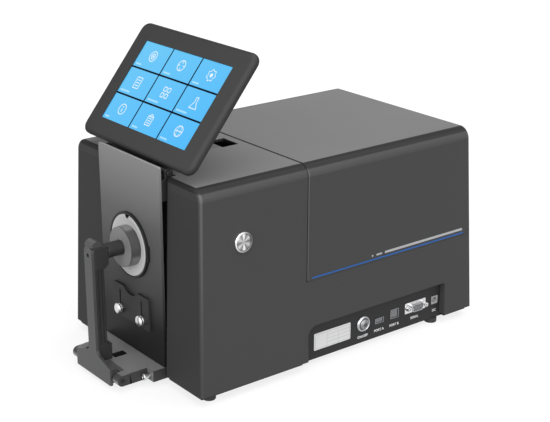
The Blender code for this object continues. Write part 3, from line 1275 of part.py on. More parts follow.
def sphere_half(name, front_side, centre_y, finish):
    """Half of the hollow sphere with its flange; the front half carries the neck to the port."""
    outer = SPHERE_RADIUS
    inner = SPHERE_RADIUS - SPHERE_WALL
    port = NECK_RADIUS if front_side else REAR_PORT_RADIUS
    first = math.degrees(math.asin(port / outer))
    last = math.degrees(math.asin((port - SPHERE_WALL) / inner))
    out = arc((0, 0), outer, 90 - first, 0, SPHERE_STEPS)
    back = arc((0, 0), inner, 0, 90 - last, SPHERE_STEPS)
    profile = [(r, h) for r, h in out[:-1]]
    profile += [(outer + SPHERE_FLANGE / 8, SPHERE_WALL), (outer + SPHERE_FLANGE, SPHERE_WALL),
                (outer + SPHERE_FLANGE, 0)]
    profile += back
    if front_side:
        reach = centre_y - MASK_REAR - 2 * SEAT
        rise = reach - SPHERE_WALL
        profile += [(port - SPHERE_WALL, reach), (NECK_FLANGE_RADIUS, reach), (NECK_FLANGE_RADIUS, rise),
                    (port, rise)]
    direction = (0, -1, 0) if front_side else (0, 1, 0)
    start = centre_y - SEAT / 2 if front_side else centre_y + SEAT / 2
    return turned(name, profile, (0, start, PORT_HEIGHT), direction, finish, closed=True)


def optics():
    centre_y = CHANNEL_BACK + OVERRUN + SPHERE_RADIUS
    sphere_half("sphere_front_half", True, centre_y, sphere_white)
    rear_half = sphere_half("sphere_rear_half", False, centre_y, sphere_white)
    lamp_y = centre_y + LAMP_LENGTH / 2
    top = PORT_HEIGHT + math.sqrt(SPHERE_RADIUS ** 2 - (lamp_y - centre_y) ** 2)
    cut(rear_half, cylinder("lamp_port", LAMP_PORT_RADIUS, (0, lamp_y, top - 4 * WALL),
                            (0, lamp_y, top + 2 * WALL), sides=SMALL))
    lamp_low = PORT_HEIGHT + SPHERE_RADIUS + SPHERE_FLANGE + SEAT
    lamp_high = BODY_HEIGHT - WALL - LAMP_HEADROOM
    lamp = box("lamp_housing", (-LAMP_WIDTH / 2, centre_y, lamp_low),
               (LAMP_WIDTH / 2, centre_y + LAMP_LENGTH, lamp_high), black)
    bore = LAMP_TUBE_RADIUS + SEAT
    bore_end = (lamp_low + lamp_high) / 2
    cut(lamp, cylinder("lamp_bore", bore, (0, lamp_y, lamp_low - OVERRUN), (0, lamp_y, bore_end), sides=SMALL))
    cylinder("lamp_tube", LAMP_TUBE_RADIUS, (0, lamp_y, top - WALL), (0, lamp_y, bore_end - SEAT), glass_clear,
             sides=SMALL)
    cradle_low = TRAY_THICKNESS - TRAY_DROP + SEAT
    cradle = box("sphere_cradle", (-CRADLE_HALF_WIDTH, centre_y - CRADLE_DEPTH / 2, cradle_low),
                 (CRADLE_HALF_WIDTH, centre_y + CRADLE_DEPTH / 2, CRADLE_TOP), grey_metal)
    half_step = math.radians(90) / SPHERE_STEPS / 2
    ball = arc((0, 0), (SPHERE_RADIUS + 2 * SEAT) / math.cos(half_step), 90, -90, 2 * SPHERE_STEPS)
    cut(cradle, turned("cradle_seat", ball, (0, centre_y, PORT_HEIGHT), (0, 1, 0)))
    gap = SPHERE_RADIUS + SPHERE_FLANGE + SEAT
    cut(cradle, cylinder("cradle_groove", gap, (0, centre_y - SPHERE_WALL - 2 * SEAT, PORT_HEIGHT),
                         (0, centre_y + SPHERE_WALL + 2 * SEAT, PORT_HEIGHT)))
    along = Vector((0, math.cos(VIEW_ANGLE), math.sin(VIEW_ANGLE)))
    spectrometer_low = TRAY_THICKNESS - TRAY_DROP + SEAT
    box("spectrometer", (SPECTROMETER_LOW_X, SPECTROMETER_FRONT, spectrometer_low),
        (SPECTROMETER_HIGH_X, SPECTROMETER_REAR, spectrometer_low + SPECTROMETER_HEIGHT), black,
        edge=WALL, segments=1)
    viewing_optics(rear_half, centre_y, along)


VIEW_BARREL_RADIUS = 0.0048
VIEW_BARREL_LENGTH = 0.010
VIEW_RISE = 0.019


def viewing_optics(rear_half, centre_y, along):
    """A short barrel over the rear port, looking back at the sample, with its lens."""
    reach = math.sqrt(SPHERE_RADIUS ** 2 - VIEW_RISE ** 2)
    place_at = Vector((0, centre_y + reach, PORT_HEIGHT + VIEW_RISE))
    cut(rear_half, cylinder("view_port", VIEW_BARREL_RADIUS - WALL / 2, place_at - along * 3 * WALL,
                            place_at + along * 2 * WALL, sides=SMALL))
    tilt = math.asin(VIEW_RISE / SPHERE_RADIUS) - VIEW_ANGLE
    start = place_at + along * (VIEW_BARREL_RADIUS * math.sin(tilt) + SEAT)
    length = VIEW_BARREL_LENGTH - WALL
    bore = VIEW_BARREL_RADIUS - WALL / 2
    barrel = [(VIEW_BARREL_RADIUS, length), (VIEW_BARREL_RADIUS, 0), (bore, 0), (bore, length)]
    turned("viewing_barrel", barrel, start, along, black, closed=True, sides=SMALL)
    lens = [(0, WALL / 2), (bore - SEAT, WALL / 6), (bore - SEAT, -WALL / 6), (0, -WALL / 2)]
    turned("viewing_lens", lens, start + along * (length / 2), along, glass_clear, sides=SMALL)


def boards():
    tray_top = TRAY_THICKNESS - TRAY_DROP
    low = tray_top + BOARD_LIFT
    main = box("main_board", (MAIN_BOARD_X[0], MAIN_BOARD_Y[0], low),
               (MAIN_BOARD_X[1], MAIN_BOARD_Y[1], low + BOARD_THICKNESS), board_green)
    for x in MAIN_BOARD_X:
        for y in MAIN_BOARD_Y:
            foot_x = x - math.copysign(BOARD_LIFT, x)
            foot_y = y + BOARD_LIFT if y == MAIN_BOARD_Y[0] else y - BOARD_LIFT
            join(main, cylinder(f"board_foot_{x}_{y}", BOARD_LIFT / 2, (foot_x, foot_y, tray_top + SEAT),
                                (foot_x, foot_y, low + BOARD_THICKNESS / 2), sides=8))
    middle = (sum(MAIN_BOARD_X) / 2, sum(MAIN_BOARD_Y) / 2)
    top = low + BOARD_THICKNESS
    join(main, box("processor", (middle[0], middle[1], low + BOARD_THICKNESS / 2),
                   (middle[0] + BOARD_CHIP[0], middle[1] + BOARD_CHIP[1], top + BOARD_CHIP[2])))
    core_x = MAIN_BOARD_X[0] + BOARD_LIFT
    join(main, box("power_converter", (core_x, middle[1], low + BOARD_THICKNESS / 2),
                   (core_x + POWER_CORE[0], middle[1] + POWER_CORE[1], top + POWER_CORE[2])))


def build():
    main_housing()
    hood()
    compartment()
    tray = base_tray()
    connector_panel(tray)
    measure_button()
    front_plate()
    port()
    sample_rest()
    clamp_bracket()
    for across, side in ((-1, "left"), (1, "right")):
        clamp_spring(f"clamp_spring_{side}", across, silver)
    clamp_arm()
    display_hinge()
    display()
    display_ribbon()
    optics()
    boards()


build()
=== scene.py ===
import math

import bmesh
import bpy
from mathutils import Matrix, Vector
from mathutils.bvhtree import BVHTree


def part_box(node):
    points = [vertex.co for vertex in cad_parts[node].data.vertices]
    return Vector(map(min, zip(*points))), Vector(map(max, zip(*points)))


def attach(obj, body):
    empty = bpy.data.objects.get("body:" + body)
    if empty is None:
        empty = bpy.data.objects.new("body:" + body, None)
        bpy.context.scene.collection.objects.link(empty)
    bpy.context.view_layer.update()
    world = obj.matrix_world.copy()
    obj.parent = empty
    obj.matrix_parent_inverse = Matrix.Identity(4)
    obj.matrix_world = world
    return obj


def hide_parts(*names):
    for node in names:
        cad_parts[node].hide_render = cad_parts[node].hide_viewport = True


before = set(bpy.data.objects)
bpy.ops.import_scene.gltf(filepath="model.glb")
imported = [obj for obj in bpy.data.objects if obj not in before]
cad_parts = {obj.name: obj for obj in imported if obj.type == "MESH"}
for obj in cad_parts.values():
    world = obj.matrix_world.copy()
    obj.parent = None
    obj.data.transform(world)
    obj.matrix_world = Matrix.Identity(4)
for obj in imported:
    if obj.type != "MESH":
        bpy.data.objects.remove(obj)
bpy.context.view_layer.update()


# Main housing: the front half of the case with its lower sides, moulded in charcoal plastic with a fine
# spark texture. Its walls lean in so that it leaves the mould, and a step behind takes the hood. Its corner
# bosses reach a little below its lower edge, and all heights are counted from that edge.
BOSS_DROP = 0.0012
housing_low, housing_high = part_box("main_housing")
housing_low.z += BOSS_DROP
CASE_HALF_WIDTH = housing_high.x
CASE_LENGTH = housing_high.y - housing_low.y
CASE_HEIGHT = housing_high.z - housing_low.z
LEAN = 0.008
WALL = 0.003
GAP = 0.0003
REACH = 0.002
CROWN = 0.012
CROWN_STEPS = 20
NOSE = 0.0035
SEAM_FOOT = 0.1295
HOOD_FOOT = 0.0885
CHANNEL_HALF_WIDTH = 0.0595
CHANNEL_DEPTH = 0.018
PORT_HEIGHT = 0.125
CASE_EDGE = 0.0007
SHARP = math.radians(35)
FLAT_AREA = 0.0006
ROUND_STEPS = 8
ORIGIN = Vector((0, housing_low.y, housing_low.z))


def on_case(x, y, z):
    """A point of the case: across, back from its front foot, and up from its lower edge."""
    return Vector((x, ORIGIN.y + y, ORIGIN.z + z))


def case_box(node_name):
    """The two corners of a CAD node's box, measured as on_case measures."""
    return [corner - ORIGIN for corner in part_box(node_name)]


def lean(z):
    return LEAN * z / CASE_HEIGHT


def half_width(z):
    return CASE_HALF_WIDTH - lean(z)


def rear_face(z):
    return CASE_LENGTH - lean(z)


def seam(z):
    return SEAM_FOOT + lean(z)


def soften(bm, edges, radius, segments):
    bmesh.ops.bevel(bm, geom=edges, offset=radius, offset_type="OFFSET", segments=segments, profile=0.5,
                    affect="EDGES", material=-1, clamp_overlap=True)


def leaning_block(low_z, high_z, front, back, inset=0.0, crown=0.0, nose=0.0, crown_steps=CROWN_STEPS):
    """A block whose walls follow the leaning faces of the case, as a bmesh."""
    bm = bmesh.new()
    bmesh.ops.create_cube(bm, size=2)
    for vert in bm.verts:
        z = high_z if vert.co.z > 0 else low_z
        y = back(z) if vert.co.y > 0 else front(z)
        vert.co = on_case(math.copysign(half_width(z) - inset, vert.co.x), y, z)
    middle_z = on_case(0, 0, (low_z + high_z) / 2).z
    middle_y = sum(v.co.y for v in bm.verts) / len(bm.verts)
    if crown:
        sides = [e for e in bm.edges
                 if min(v.co.z for v in e.verts) > middle_z
                 and min(v.co.y for v in e.verts) < middle_y < max(v.co.y for v in e.verts)]
        soften(bm, sides, crown, crown_steps)
    if nose:
        outline = [e for e in bm.edges
                   if max(v.co.y for v in e.verts) < middle_y
                   and max(v.co.z for v in e.verts) > on_case(0, 0, low_z + nose).z]
        soften(bm, outline, nose, ROUND_STEPS)
    return bm


def block(low, high):
    """A box between two corners, as a bmesh."""
    low, high = Vector(low), Vector(high)
    bm = bmesh.new()
    bmesh.ops.create_cube(bm, size=1)
    bmesh.ops.scale(bm, vec=high - low, verts=bm.verts)
    bmesh.ops.translate(bm, vec=(low + high) / 2, verts=bm.verts)
    return bm


def case_block(low, high):
    return block(on_case(*low), on_case(*high))


def prism(outline, near, far, facing):
    """A flat outline drawn out along x or y between two depths of the case, as a bmesh."""
    def place(u, v, depth):
        return on_case(depth, u, v) if facing == "x" else on_case(u, depth, v)
    bm = bmesh.new()
    ring = [bm.verts.new(place(u, v, near)) for u, v in outline]
    face = bm.faces.new(ring)
    drawn = bmesh.ops.extrude_face_region(bm, geom=[face])
    moved = [item for item in drawn["geom"] if isinstance(item, bmesh.types.BMVert)]
    bmesh.ops.translate(bm, vec=place(0, 0, far) - place(0, 0, near), verts=moved)
    return bm


def bow(centre, radius, first, last, steps):
    """Points on an arc, angles in degrees."""
    angles = [math.radians(first + (last - first) * i / steps) for i in range(steps + 1)]
    return [(centre[0] + radius * math.cos(a), centre[1] + radius * math.sin(a)) for a in angles]


def spun(profile, start, direction, sides):
    """A profile of (radius, height) spun about a direction from a start point, as a bmesh."""
    bm = bmesh.new()
    verts = [bm.verts.new((radius, 0, height)) for radius, height in profile]
    loop = verts + [verts[0]] if profile[0][0] > 0 and profile[-1][0] > 0 else verts
    edges = [bm.edges.new(pair) for pair in zip(loop, loop[1:])]
    bmesh.ops.spin(bm, geom=verts + edges, axis=(0, 0, 1), cent=(0, 0, 0), dvec=(0, 0, 0), angle=math.tau,
                   steps=sides, use_merge=True)
    bmesh.ops.remove_doubles(bm, verts=bm.verts, dist=0.000002)
    turn = Vector((0, 0, 1)).rotation_difference(Vector(direction)).to_matrix().to_4x4()
    bmesh.ops.transform(bm, matrix=Matrix.Translation(start) @ turn, verts=bm.verts)
    return bm


def rod(radius, start, end, sides=48):
    """A plain round bar between two points, as a bmesh for cutting and joining."""
    length = (end - start).length
    return spun([(0, length), (radius, length), (radius, 0), (0, 0)], start, end - start, sides)


def piece_from(bm, name):
    """A new object with its place in its mesh."""
    bmesh.ops.recalc_face_normals(bm, faces=bm.faces)
    mesh = bpy.data.meshes.new(name)
    bm.to_mesh(mesh)
    bm.free()
    piece = bpy.data.objects.new(name, mesh)
    bpy.context.scene.collection.objects.link(piece)
    return piece


def worked(piece, operation, *tools):
    """Cut or join the piece with each tool's bmesh, and keep the finished mesh."""
    for number, tool in enumerate(tools):
        other = piece_from(tool, f"{piece.name}_tool_{number}")
        step = piece.modifiers.new(f"step_{number}", "BOOLEAN")
        step.operation = operation
        step.object = other
        step.solver = "EXACT"
        graph = bpy.context.evaluated_depsgraph_get()
        mesh = bpy.data.meshes.new_from_object(piece.evaluated_get(graph))
        piece.modifiers.remove(step)
        old = piece.data
        mesh.name = piece.name
        piece.data = mesh
        bpy.data.meshes.remove(old)
        spent = other.data
        bpy.data.objects.remove(other)
        bpy.data.meshes.remove(spent)
    return piece


def cut(piece, *tools):
    return worked(piece, "DIFFERENCE", *tools)


def join(piece, *tools):
    return worked(piece, "UNION", *tools)


def skin_edges_softened(piece, skin, width, segments=3, spare=None):
    """Round the sharp edges that lie on the outer skin, such as the rims of cuts."""
    bm = bmesh.new()
    bm.from_mesh(piece.data)
    bmesh.ops.remove_doubles(bm, verts=bm.verts, dist=0.00001)
    bmesh.ops.dissolve_limit(bm, angle_limit=math.radians(0.5), verts=bm.verts, edges=bm.edges)

    def on_skin(edge):
        first, last = (v.co for v in edge.verts)
        near = [skin.find_nearest(point)[3] for point in (first, last, (first + last) / 2)]
        return all(distance is not None and distance < 0.00003 for distance in near)
    edges = [e for e in bm.edges
             if e.is_manifold and e.calc_face_angle(0) > SHARP and on_skin(e) and not (spare and spare(e))]
    soften(bm, edges, width, segments)
    bm.to_mesh(piece.data)
    bm.free()


def shaded(piece, angle=SHARP, flat_area=None):
    """Round faces shaded smooth, with edges past the angle and round large flat faces kept sharp."""
    mesh = piece.data
    mesh.shade_smooth()
    mesh.set_sharp_from_angle(angle=angle)
    for polygon in mesh.polygons:
        if flat_area and polygon.area > flat_area:
            for index in polygon.loop_indices:
                mesh.edges[mesh.loops[index].edge_index].use_edge_sharp = True
    return piece


def fitted(piece, material, body, node_name=None):
    """Give a piece its finish and the body it moves with, and hide the CAD node that it stands for."""
    piece.data.materials.append(material)
    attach(piece, body)
    if node_name:
        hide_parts(node_name)


def srgb(*values):
    """A colour as it is read off a screen, 0 to 255, in the light values that shaders use."""
    shares = [v / 255 for v in values]
    return [s / 12.92 if s <= 0.04045 else ((s + 0.055) / 1.055) ** 2.4 for s in shares] + [1.0]


def fed(tree, made, inputs):
    """Give each named input of a node a fixed value, or the output that feeds it."""
    for name, value in inputs.items():
        if isinstance(value, bpy.types.NodeSocket):
            tree.links.new(value, made.inputs[name])
        else:
            made.inputs[name].default_value = value
    return made


def node(tree, kind, inputs, **settings):
    made = tree.nodes.new("ShaderNode" + kind)
    for name, value in settings.items():
        setattr(made, name, value)
    return fed(tree, made, inputs)


def grain_effect():
    """Fine relief and slow tone changes of a moulded, painted or brushed surface."""
    tree = bpy.data.node_groups.new("surface_grain", "ShaderNodeTree")
    tree.interface.new_socket("Vector", in_out="INPUT", socket_type="NodeSocketVector")
    for name, value in (("Grain", 900.0), ("Cloud", 9.0)):
        tree.interface.new_socket(name, in_out="INPUT", socket_type="NodeSocketFloat").default_value = value
    for name in ("Height", "Tone"):
        tree.interface.new_socket(name, in_out="OUTPUT", socket_type="NodeSocketFloat")
    given = tree.nodes.new("NodeGroupInput").outputs
    fine = node(tree, "TexNoise", {"Vector": given["Vector"], "Scale": given["Grain"], "Detail": 2.5,
                                   "Roughness": 0.55}).outputs["Fac"]
    slow = node(tree, "TexNoise", {"Vector": given["Vector"], "Scale": given["Cloud"], "Detail": 4.0,
                                   "Roughness": 0.6}).outputs["Fac"]
    blend = node(tree, "Math", {0: fine, 1: 0.3, 2: slow}, operation="MULTIPLY_ADD")
    fed(tree, tree.nodes.new("NodeGroupOutput"), {"Height": fine, "Tone": blend.outputs[0]})
    return tree


surface_grain = grain_effect()


def finish(name, colour, roughness, metallic=0.0, grain=900.0, depth=0.00002, cloud=9.0, spread=0.12,
           rough_spread=0.06, stretch=(1, 1, 1), specular=0.5):
    """A finish of one colour with grain in its surface, tone that wanders a little and uneven gloss."""
    material = bpy.data.materials.new(name)
    material.use_nodes = True
    tree = material.node_tree
    where = node(tree, "TexCoord", {})
    scaled = node(tree, "Mapping", {"Vector": where.outputs["Object"], "Scale": stretch})
    effect = node(tree, "Group", {"Vector": scaled.outputs["Vector"], "Grain": grain, "Cloud": cloud},
                  node_tree=surface_grain)
    tint = node(tree, "Mix", {"Factor": effect.outputs["Tone"],
                              "A": [c * (1 - spread) for c in colour[:3]] + [1.0],
                              "B": [min(1.0, c * (1 + spread)) for c in colour[:3]] + [1.0]},
                data_type="RGBA")
    gloss = node(tree, "MapRange", {"Value": effect.outputs["Tone"], "From Min": 0.3, "From Max": 1.0,
                                    "To Min": roughness - rough_spread, "To Max": roughness + rough_spread})
    relief = node(tree, "Bump", {"Height": effect.outputs["Height"], "Distance": depth, "Strength": 1.0})
    fed(tree, tree.nodes["Principled BSDF"],
        {"Base Color": tint.outputs["Result"], "Roughness": gloss.outputs["Result"],
         "Normal": relief.outputs["Normal"], "Metallic": metallic, "Specular IOR Level": specular})
    return material


WHITE = [1.0, 1.0, 1.0, 1.0]


def grey_ramp(tree, share, stops):
    """Greys that go with a share between nought and one, given as (share, tone)."""
    made = node(tree, "ValToRGB", {"Fac": share})
    for position, tone in stops[1:-1]:
        made.color_ramp.elements.new(position)
    for stop, (position, tone) in zip(made.color_ramp.elements, stops):
        stop.position = position
        stop.color = srgb(tone, tone, tone)
    return made.outputs["Color"]


def blended(material, inputs, **settings):
    """Pass a finish's colour through one more blend, as its input A."""
    tree = material.node_tree
    colour = tree.nodes["Principled BSDF"].inputs["Base Color"]
    both = node(tree, "Mix", {"A": colour.links[0].from_socket, **inputs}, data_type="RGBA", **settings)
    tree.links.new(both.outputs["Result"], colour)


def painted_shading(material, share, stops):
    """Paint light and shade into a finish: greys that go with a share darken its colour."""
    greys = grey_ramp(material.node_tree, share, stops)
    blended(material, {"Factor": 1.0, "B": greys}, blend_type="MULTIPLY")


def painted_top_light(material, height, tone):
    """Paint light onto a flat top: give it its own tone, whatever the angle it is seen at; height is a share
    that ends at one.
    """
    above = node(material.node_tree, "Math", {0: height, 1: 0.999}, operation="GREATER_THAN")
    blended(material, {"Factor": above.outputs[0], "B": srgb(tone, tone, tone)})


def turned_away(material):
    """How far a surface turns away from the eye, as a share."""
    return node(material.node_tree, "LayerWeight", {}).outputs["Facing"]


def up_share(material, low_z, high_z):
    """How far up a piece a point is, from nought at its foot to one at its top."""
    tree = material.node_tree
    apart = node(tree, "SeparateXYZ", {"Vector": tree.nodes["Texture Coordinate"].outputs["Object"]})
    rise = node(tree, "MapRange", {"Value": apart.outputs["Z"], "From Min": low_z, "From Max": high_z})
    return rise.outputs["Result"]


# Painted light and shade on the charcoal plastic: by the angle a face is seen at, faces turned to the eye get
# a painted highlight and faces turned away painted shade; near the top a painted light band and then a painted
# dark band stand for the studio's reflection on the rounded crown, and the flat top is painted lighter, as
# light from above falls on it.
CHARCOAL_PAINTED_LIGHT_TONES = ((0, 100), (0.06, 94), (0.14, 76), (0.24, 74), (0.36, 74), (0.42, 61), (1, 61))
CROWN_PAINTED_BAND_TONES = ((0, 232), (0.06, 247), (0.60, 247), (0.70, 168), (0.998, 168), (1, 255))
TOP_PAINTED_LIGHT_TONE = 106
CROWN_PAINTED_BAND_FOOT = CROWN + 0.0005
charcoal_plastic = finish("charcoal_plastic", WHITE, 0.5, grain=1400, depth=0.00004, cloud=7, spread=0.05,
                          specular=0.05)
painted_shading(charcoal_plastic, turned_away(charcoal_plastic), CHARCOAL_PAINTED_LIGHT_TONES)
painted_band_height = up_share(charcoal_plastic, housing_high.z - CROWN_PAINTED_BAND_FOOT, housing_high.z)
painted_shading(charcoal_plastic, painted_band_height, CROWN_PAINTED_BAND_TONES)
painted_top_light(charcoal_plastic, painted_band_height, TOP_PAINTED_LIGHT_TONE)

BULKHEAD_FOOT = 0.080
DECK_FOOT = 0.0835
RECESS_FRONT = 0.134
RECESS_REAR = 0.330
RECESS_TOP = 0.0385
RECESS_FRONT_CORNER = 0.012
RECESS_REAR_CORNER = 0.004
RECESS_FRAME = 0.004
PANEL_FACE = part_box("connector_label")[0].x - GAP
PASSAGE_LEFT = -0.0163
PASSAGE_RIGHT = 0.0103
PASSAGE_FRONT = 0.1085
PASSAGE_REAR = 0.1285
RIBBON_HALF_WIDTH = 0.010
RIBBON_MIDDLE = -0.003
RIBBON_GROOVE = 0.0015
MEASURE_MIDDLE = on_case(half_width(0.1497), 0.0555, 0.1497)
MEASURE_NORMAL = Vector((CASE_HEIGHT, 0, LEAN)).normalized()
MEASURE_BORE = 0.0097
BEAM_RADIUS = 0.014
SPHERE_BORE = 0.030
BEVEL_WALL = CROWN - WALL
over = CASE_HEIGHT + REACH
inner_top = CASE_HEIGHT - WALL


def side_pair(across, inner, outer):
    """Two distances from the middle as low and high x on the left (-1) or the right (1)."""
    return sorted((across * inner, across * outer))


def bored(radius, x, z, near, far, sides=48):
    """A round cutter that runs back through the case between two depths."""
    return rod(radius, on_case(x, near, z), on_case(x, far, z), sides)


outer = leaning_block(0, CASE_HEIGHT, lean, rear_face, crown=CROWN, nose=NOSE)
skin = BVHTree.FromBMesh(outer)
housing = piece_from(outer, "housing_shell")
cut(housing,
    leaning_block(HOOD_FOOT, over, seam, lambda z: CASE_LENGTH + REACH, -REACH),
    leaning_block(-REACH, inner_top, lambda z: CHANNEL_DEPTH + WALL, lambda z: seam(z) - WALL, WALL,
                  crown=BEVEL_WALL, crown_steps=ROUND_STEPS),
    leaning_block(-REACH, BULKHEAD_FOOT, lambda z: CHANNEL_DEPTH + 2 * WALL,
                  lambda z: rear_face(z) - WALL - GAP, WALL + GAP),
    leaning_block(BULKHEAD_FOOT - REACH, HOOD_FOOT + REACH, seam, lambda z: rear_face(z) - WALL, WALL))
roof = inner_top - GAP
shoulder = roof - BEVEL_WALL
for across in (-1, 1):
    inner = CHANNEL_HALF_WIDTH + WALL
    inset = WALL + GAP
    column = [(inner, -REACH), (half_width(-REACH) - inset, -REACH), (half_width(shoulder) - inset, shoulder),
              (half_width(roof) - inset - BEVEL_WALL, roof), (inner, roof)]
    cut(housing, prism([(across * x, z) for x, z in column], lean(CASE_HEIGHT) + WALL,
                       CHANNEL_DEPTH + WALL + REACH, "y"))
bulkhead = seam(PORT_HEIGHT)
cut(housing,
    case_block((-CHANNEL_HALF_WIDTH, -REACH, -REACH), (CHANNEL_HALF_WIDTH, CHANNEL_DEPTH, over)),
    bored(SPHERE_BORE, 0, PORT_HEIGHT, CHANNEL_DEPTH - REACH, CHANNEL_DEPTH + WALL + REACH),
    bored(BEAM_RADIUS, 0, PORT_HEIGHT, bulkhead - WALL - REACH, bulkhead + REACH),
    case_block((PASSAGE_LEFT, PASSAGE_FRONT, inner_top - REACH), (PASSAGE_RIGHT, PASSAGE_REAR, over)),
    case_block((RIBBON_MIDDLE - RIBBON_HALF_WIDTH - GAP, CHANNEL_DEPTH - REACH, CASE_HEIGHT - RIBBON_GROOVE),
               (RIBBON_MIDDLE + RIBBON_HALF_WIDTH + GAP, PASSAGE_FRONT + REACH, over)))
panel_front, panel_rear = RECESS_FRONT - RECESS_FRAME, RECESS_REAR + RECESS_FRAME
join(housing, case_block((PANEL_FACE + GAP, panel_front, GAP),
                         (half_width(RECESS_TOP) - WALL / 2, panel_rear, RECESS_TOP + RECESS_FRAME)))
front_corner, rear_corner = RECESS_FRONT_CORNER, RECESS_REAR_CORNER
window = [(RECESS_FRONT, -REACH), (RECESS_REAR, -REACH)]
window += bow((RECESS_REAR - rear_corner, RECESS_TOP - rear_corner), rear_corner, 0, 90, 6)
window += bow((RECESS_FRONT + front_corner, RECESS_TOP - front_corner), front_corner, 90, 180, 10)
cut(housing, prism(window, PANEL_FACE - REACH, CASE_HALF_WIDTH + REACH, "x"),
    rod(MEASURE_BORE, MEASURE_MIDDLE - MEASURE_NORMAL * (WALL + REACH),
        MEASURE_MIDDLE + MEASURE_NORMAL * REACH))
LEDGE_WIDTH = 0.005
LEDGE_HEIGHT = 0.0035
LUG_LENGTH = 0.016
LUG_HEIGHT = 0.014
ledge_top = DECK_FOOT - GAP
for across in (-1, 1):
    far = half_width(DECK_FOOT)
    low_x, high_x = side_pair(across, far - WALL - LEDGE_WIDTH, far - WALL / 2)
    join(housing, case_block((low_x, seam(DECK_FOOT) - WALL / 2, ledge_top - LEDGE_HEIGHT),
                             (high_x, rear_face(DECK_FOOT) - WALL / 2, ledge_top)))
    low_x, high_x = side_pair(across, CASE_HALF_WIDTH - WALL - LUG_LENGTH, half_width(LUG_HEIGHT) - WALL / 2)
    for y in (CHANNEL_DEPTH + WALL + REACH, CASE_LENGTH - WALL - LUG_LENGTH):
        join(housing, case_block((low_x, y, -BOSS_DROP), (high_x, y + LUG_LENGTH, LUG_HEIGHT)))


def at_hood_foot(edge):
    return all(abs(v.co.z - on_case(0, 0, HOOD_FOOT).z) < REACH / 2 for v in edge.verts)


skin_edges_softened(housing, skin, CASE_EDGE, spare=at_hood_foot)
SOFT_ANGLE = math.radians(30)
shaded(housing, SOFT_ANGLE, FLAT_AREA)
fitted(housing, charcoal_plastic, "case", "main_housing")


# Hood: the loose rear half of the case, in the same plastic, with two moulded runners that hook over the
# deck's rails. It slides back to open the transmission compartment.
hood_foot = HOOD_FOOT + GAP
RAIL_X = 0.104
RAIL_WIDTH = 0.004
DECK_TOP = 0.086
RUNNER_START = 0.020
RUNNER_LENGTH = 0.060
RUNNER_RISE = 0.0053
RUNNER_LIP = 0.0022
SEAM_EDGE = 0.0014
SEAM_GROOVE = 0.0008


def hood_front(z):
    return seam(z) + 2 * GAP + SEAM_GROOVE


outer = leaning_block(hood_foot, CASE_HEIGHT, hood_front, rear_face, crown=CROWN)
skin = BVHTree.FromBMesh(outer)
hood = piece_from(outer, "hood_shell")
cut(hood, leaning_block(hood_foot - REACH, inner_top, lambda z: seam(z) - REACH,
                        lambda z: rear_face(z) - WALL, WALL, crown=BEVEL_WALL, crown_steps=ROUND_STEPS))
runner_y = seam(DECK_TOP) + RUNNER_START
runner_end = runner_y + RUNNER_LENGTH
lip_low = DECK_TOP + RUNNER_RISE + 2 * GAP
lip_top = lip_low + RUNNER_LIP
inside = half_width(lip_top) - WALL - GAP
for across in (-1, 1):
    near, far = side_pair(across, RAIL_X + RAIL_WIDTH + GAP, inside)
    join(hood, case_block((near, runner_y, DECK_TOP + 2 * GAP), (far, runner_end, lip_low + RUNNER_LIP / 2)))
    near, far = side_pair(across, RAIL_X, inside + WALL / 2)
    join(hood, case_block((near, runner_y, lip_low), (far, runner_end, lip_top)))


def off_front_rim(edge):
    return any(v.co.y > on_case(0, hood_front(v.co.z - ORIGIN.z) + REACH / 2, 0).y for v in edge.verts)


skin_edges_softened(hood, skin, SEAM_EDGE, 4, spare=off_front_rim)
shaded(hood, SOFT_ANGLE, FLAT_AREA)
fitted(hood, charcoal_plastic, "sliding_hood", "hood")


# Lines printed on the hood's right side: a thin blue line near its lower edge, a pale bar over it, and a
# short dash and a dot before the bar. Each is a film of ink a tenth of a millimetre thick.
INK = 0.0001


def side_strip(y_low, y_high, z_low, z_high):
    """A thin printed strip that lies on the leaning right side."""
    bm = case_block((0, y_low, z_low), (INK, y_high, z_high))
    for vert in bm.verts:
        vert.co.x += half_width(vert.co.z - ORIGIN.z) + INK / 10
    return bm


def printed(name, bm, material, body):
    fitted(piece_from(bm, name), material, body)


def ink(name, colour, roughness=0.5, depth=0.000003):
    return finish(name, colour, roughness, grain=3000, depth=depth, specular=0.2)


blue_ink = ink("blue_ink", srgb(30, 88, 160), 0.45, 0.000005)
pale_ink = ink("pale_ink", srgb(158, 159, 161), 0.5, 0.000005)
printed("side_blue_line", side_strip(0.1408, 0.3566, 0.0905, 0.0919), blue_ink, "sliding_hood")
printed("side_pale_bar", side_strip(0.2400, 0.3550, 0.0944, 0.0970), pale_ink, "sliding_hood")
printed("side_pale_dash", side_strip(0.2280, 0.2360, 0.0946, 0.0966), pale_ink, "sliding_hood")
DOT_RADIUS = 0.0011
DOT_PLACE = (0.2225, 0.0956)
dot = spun([(0, INK), (DOT_RADIUS, INK), (DOT_RADIUS, 0), (0, 0)],
           on_case(half_width(DOT_PLACE[1]) + INK / 10, *DOT_PLACE), MEASURE_NORMAL, 24)
printed("side_pale_dot", dot, pale_ink, "sliding_hood")


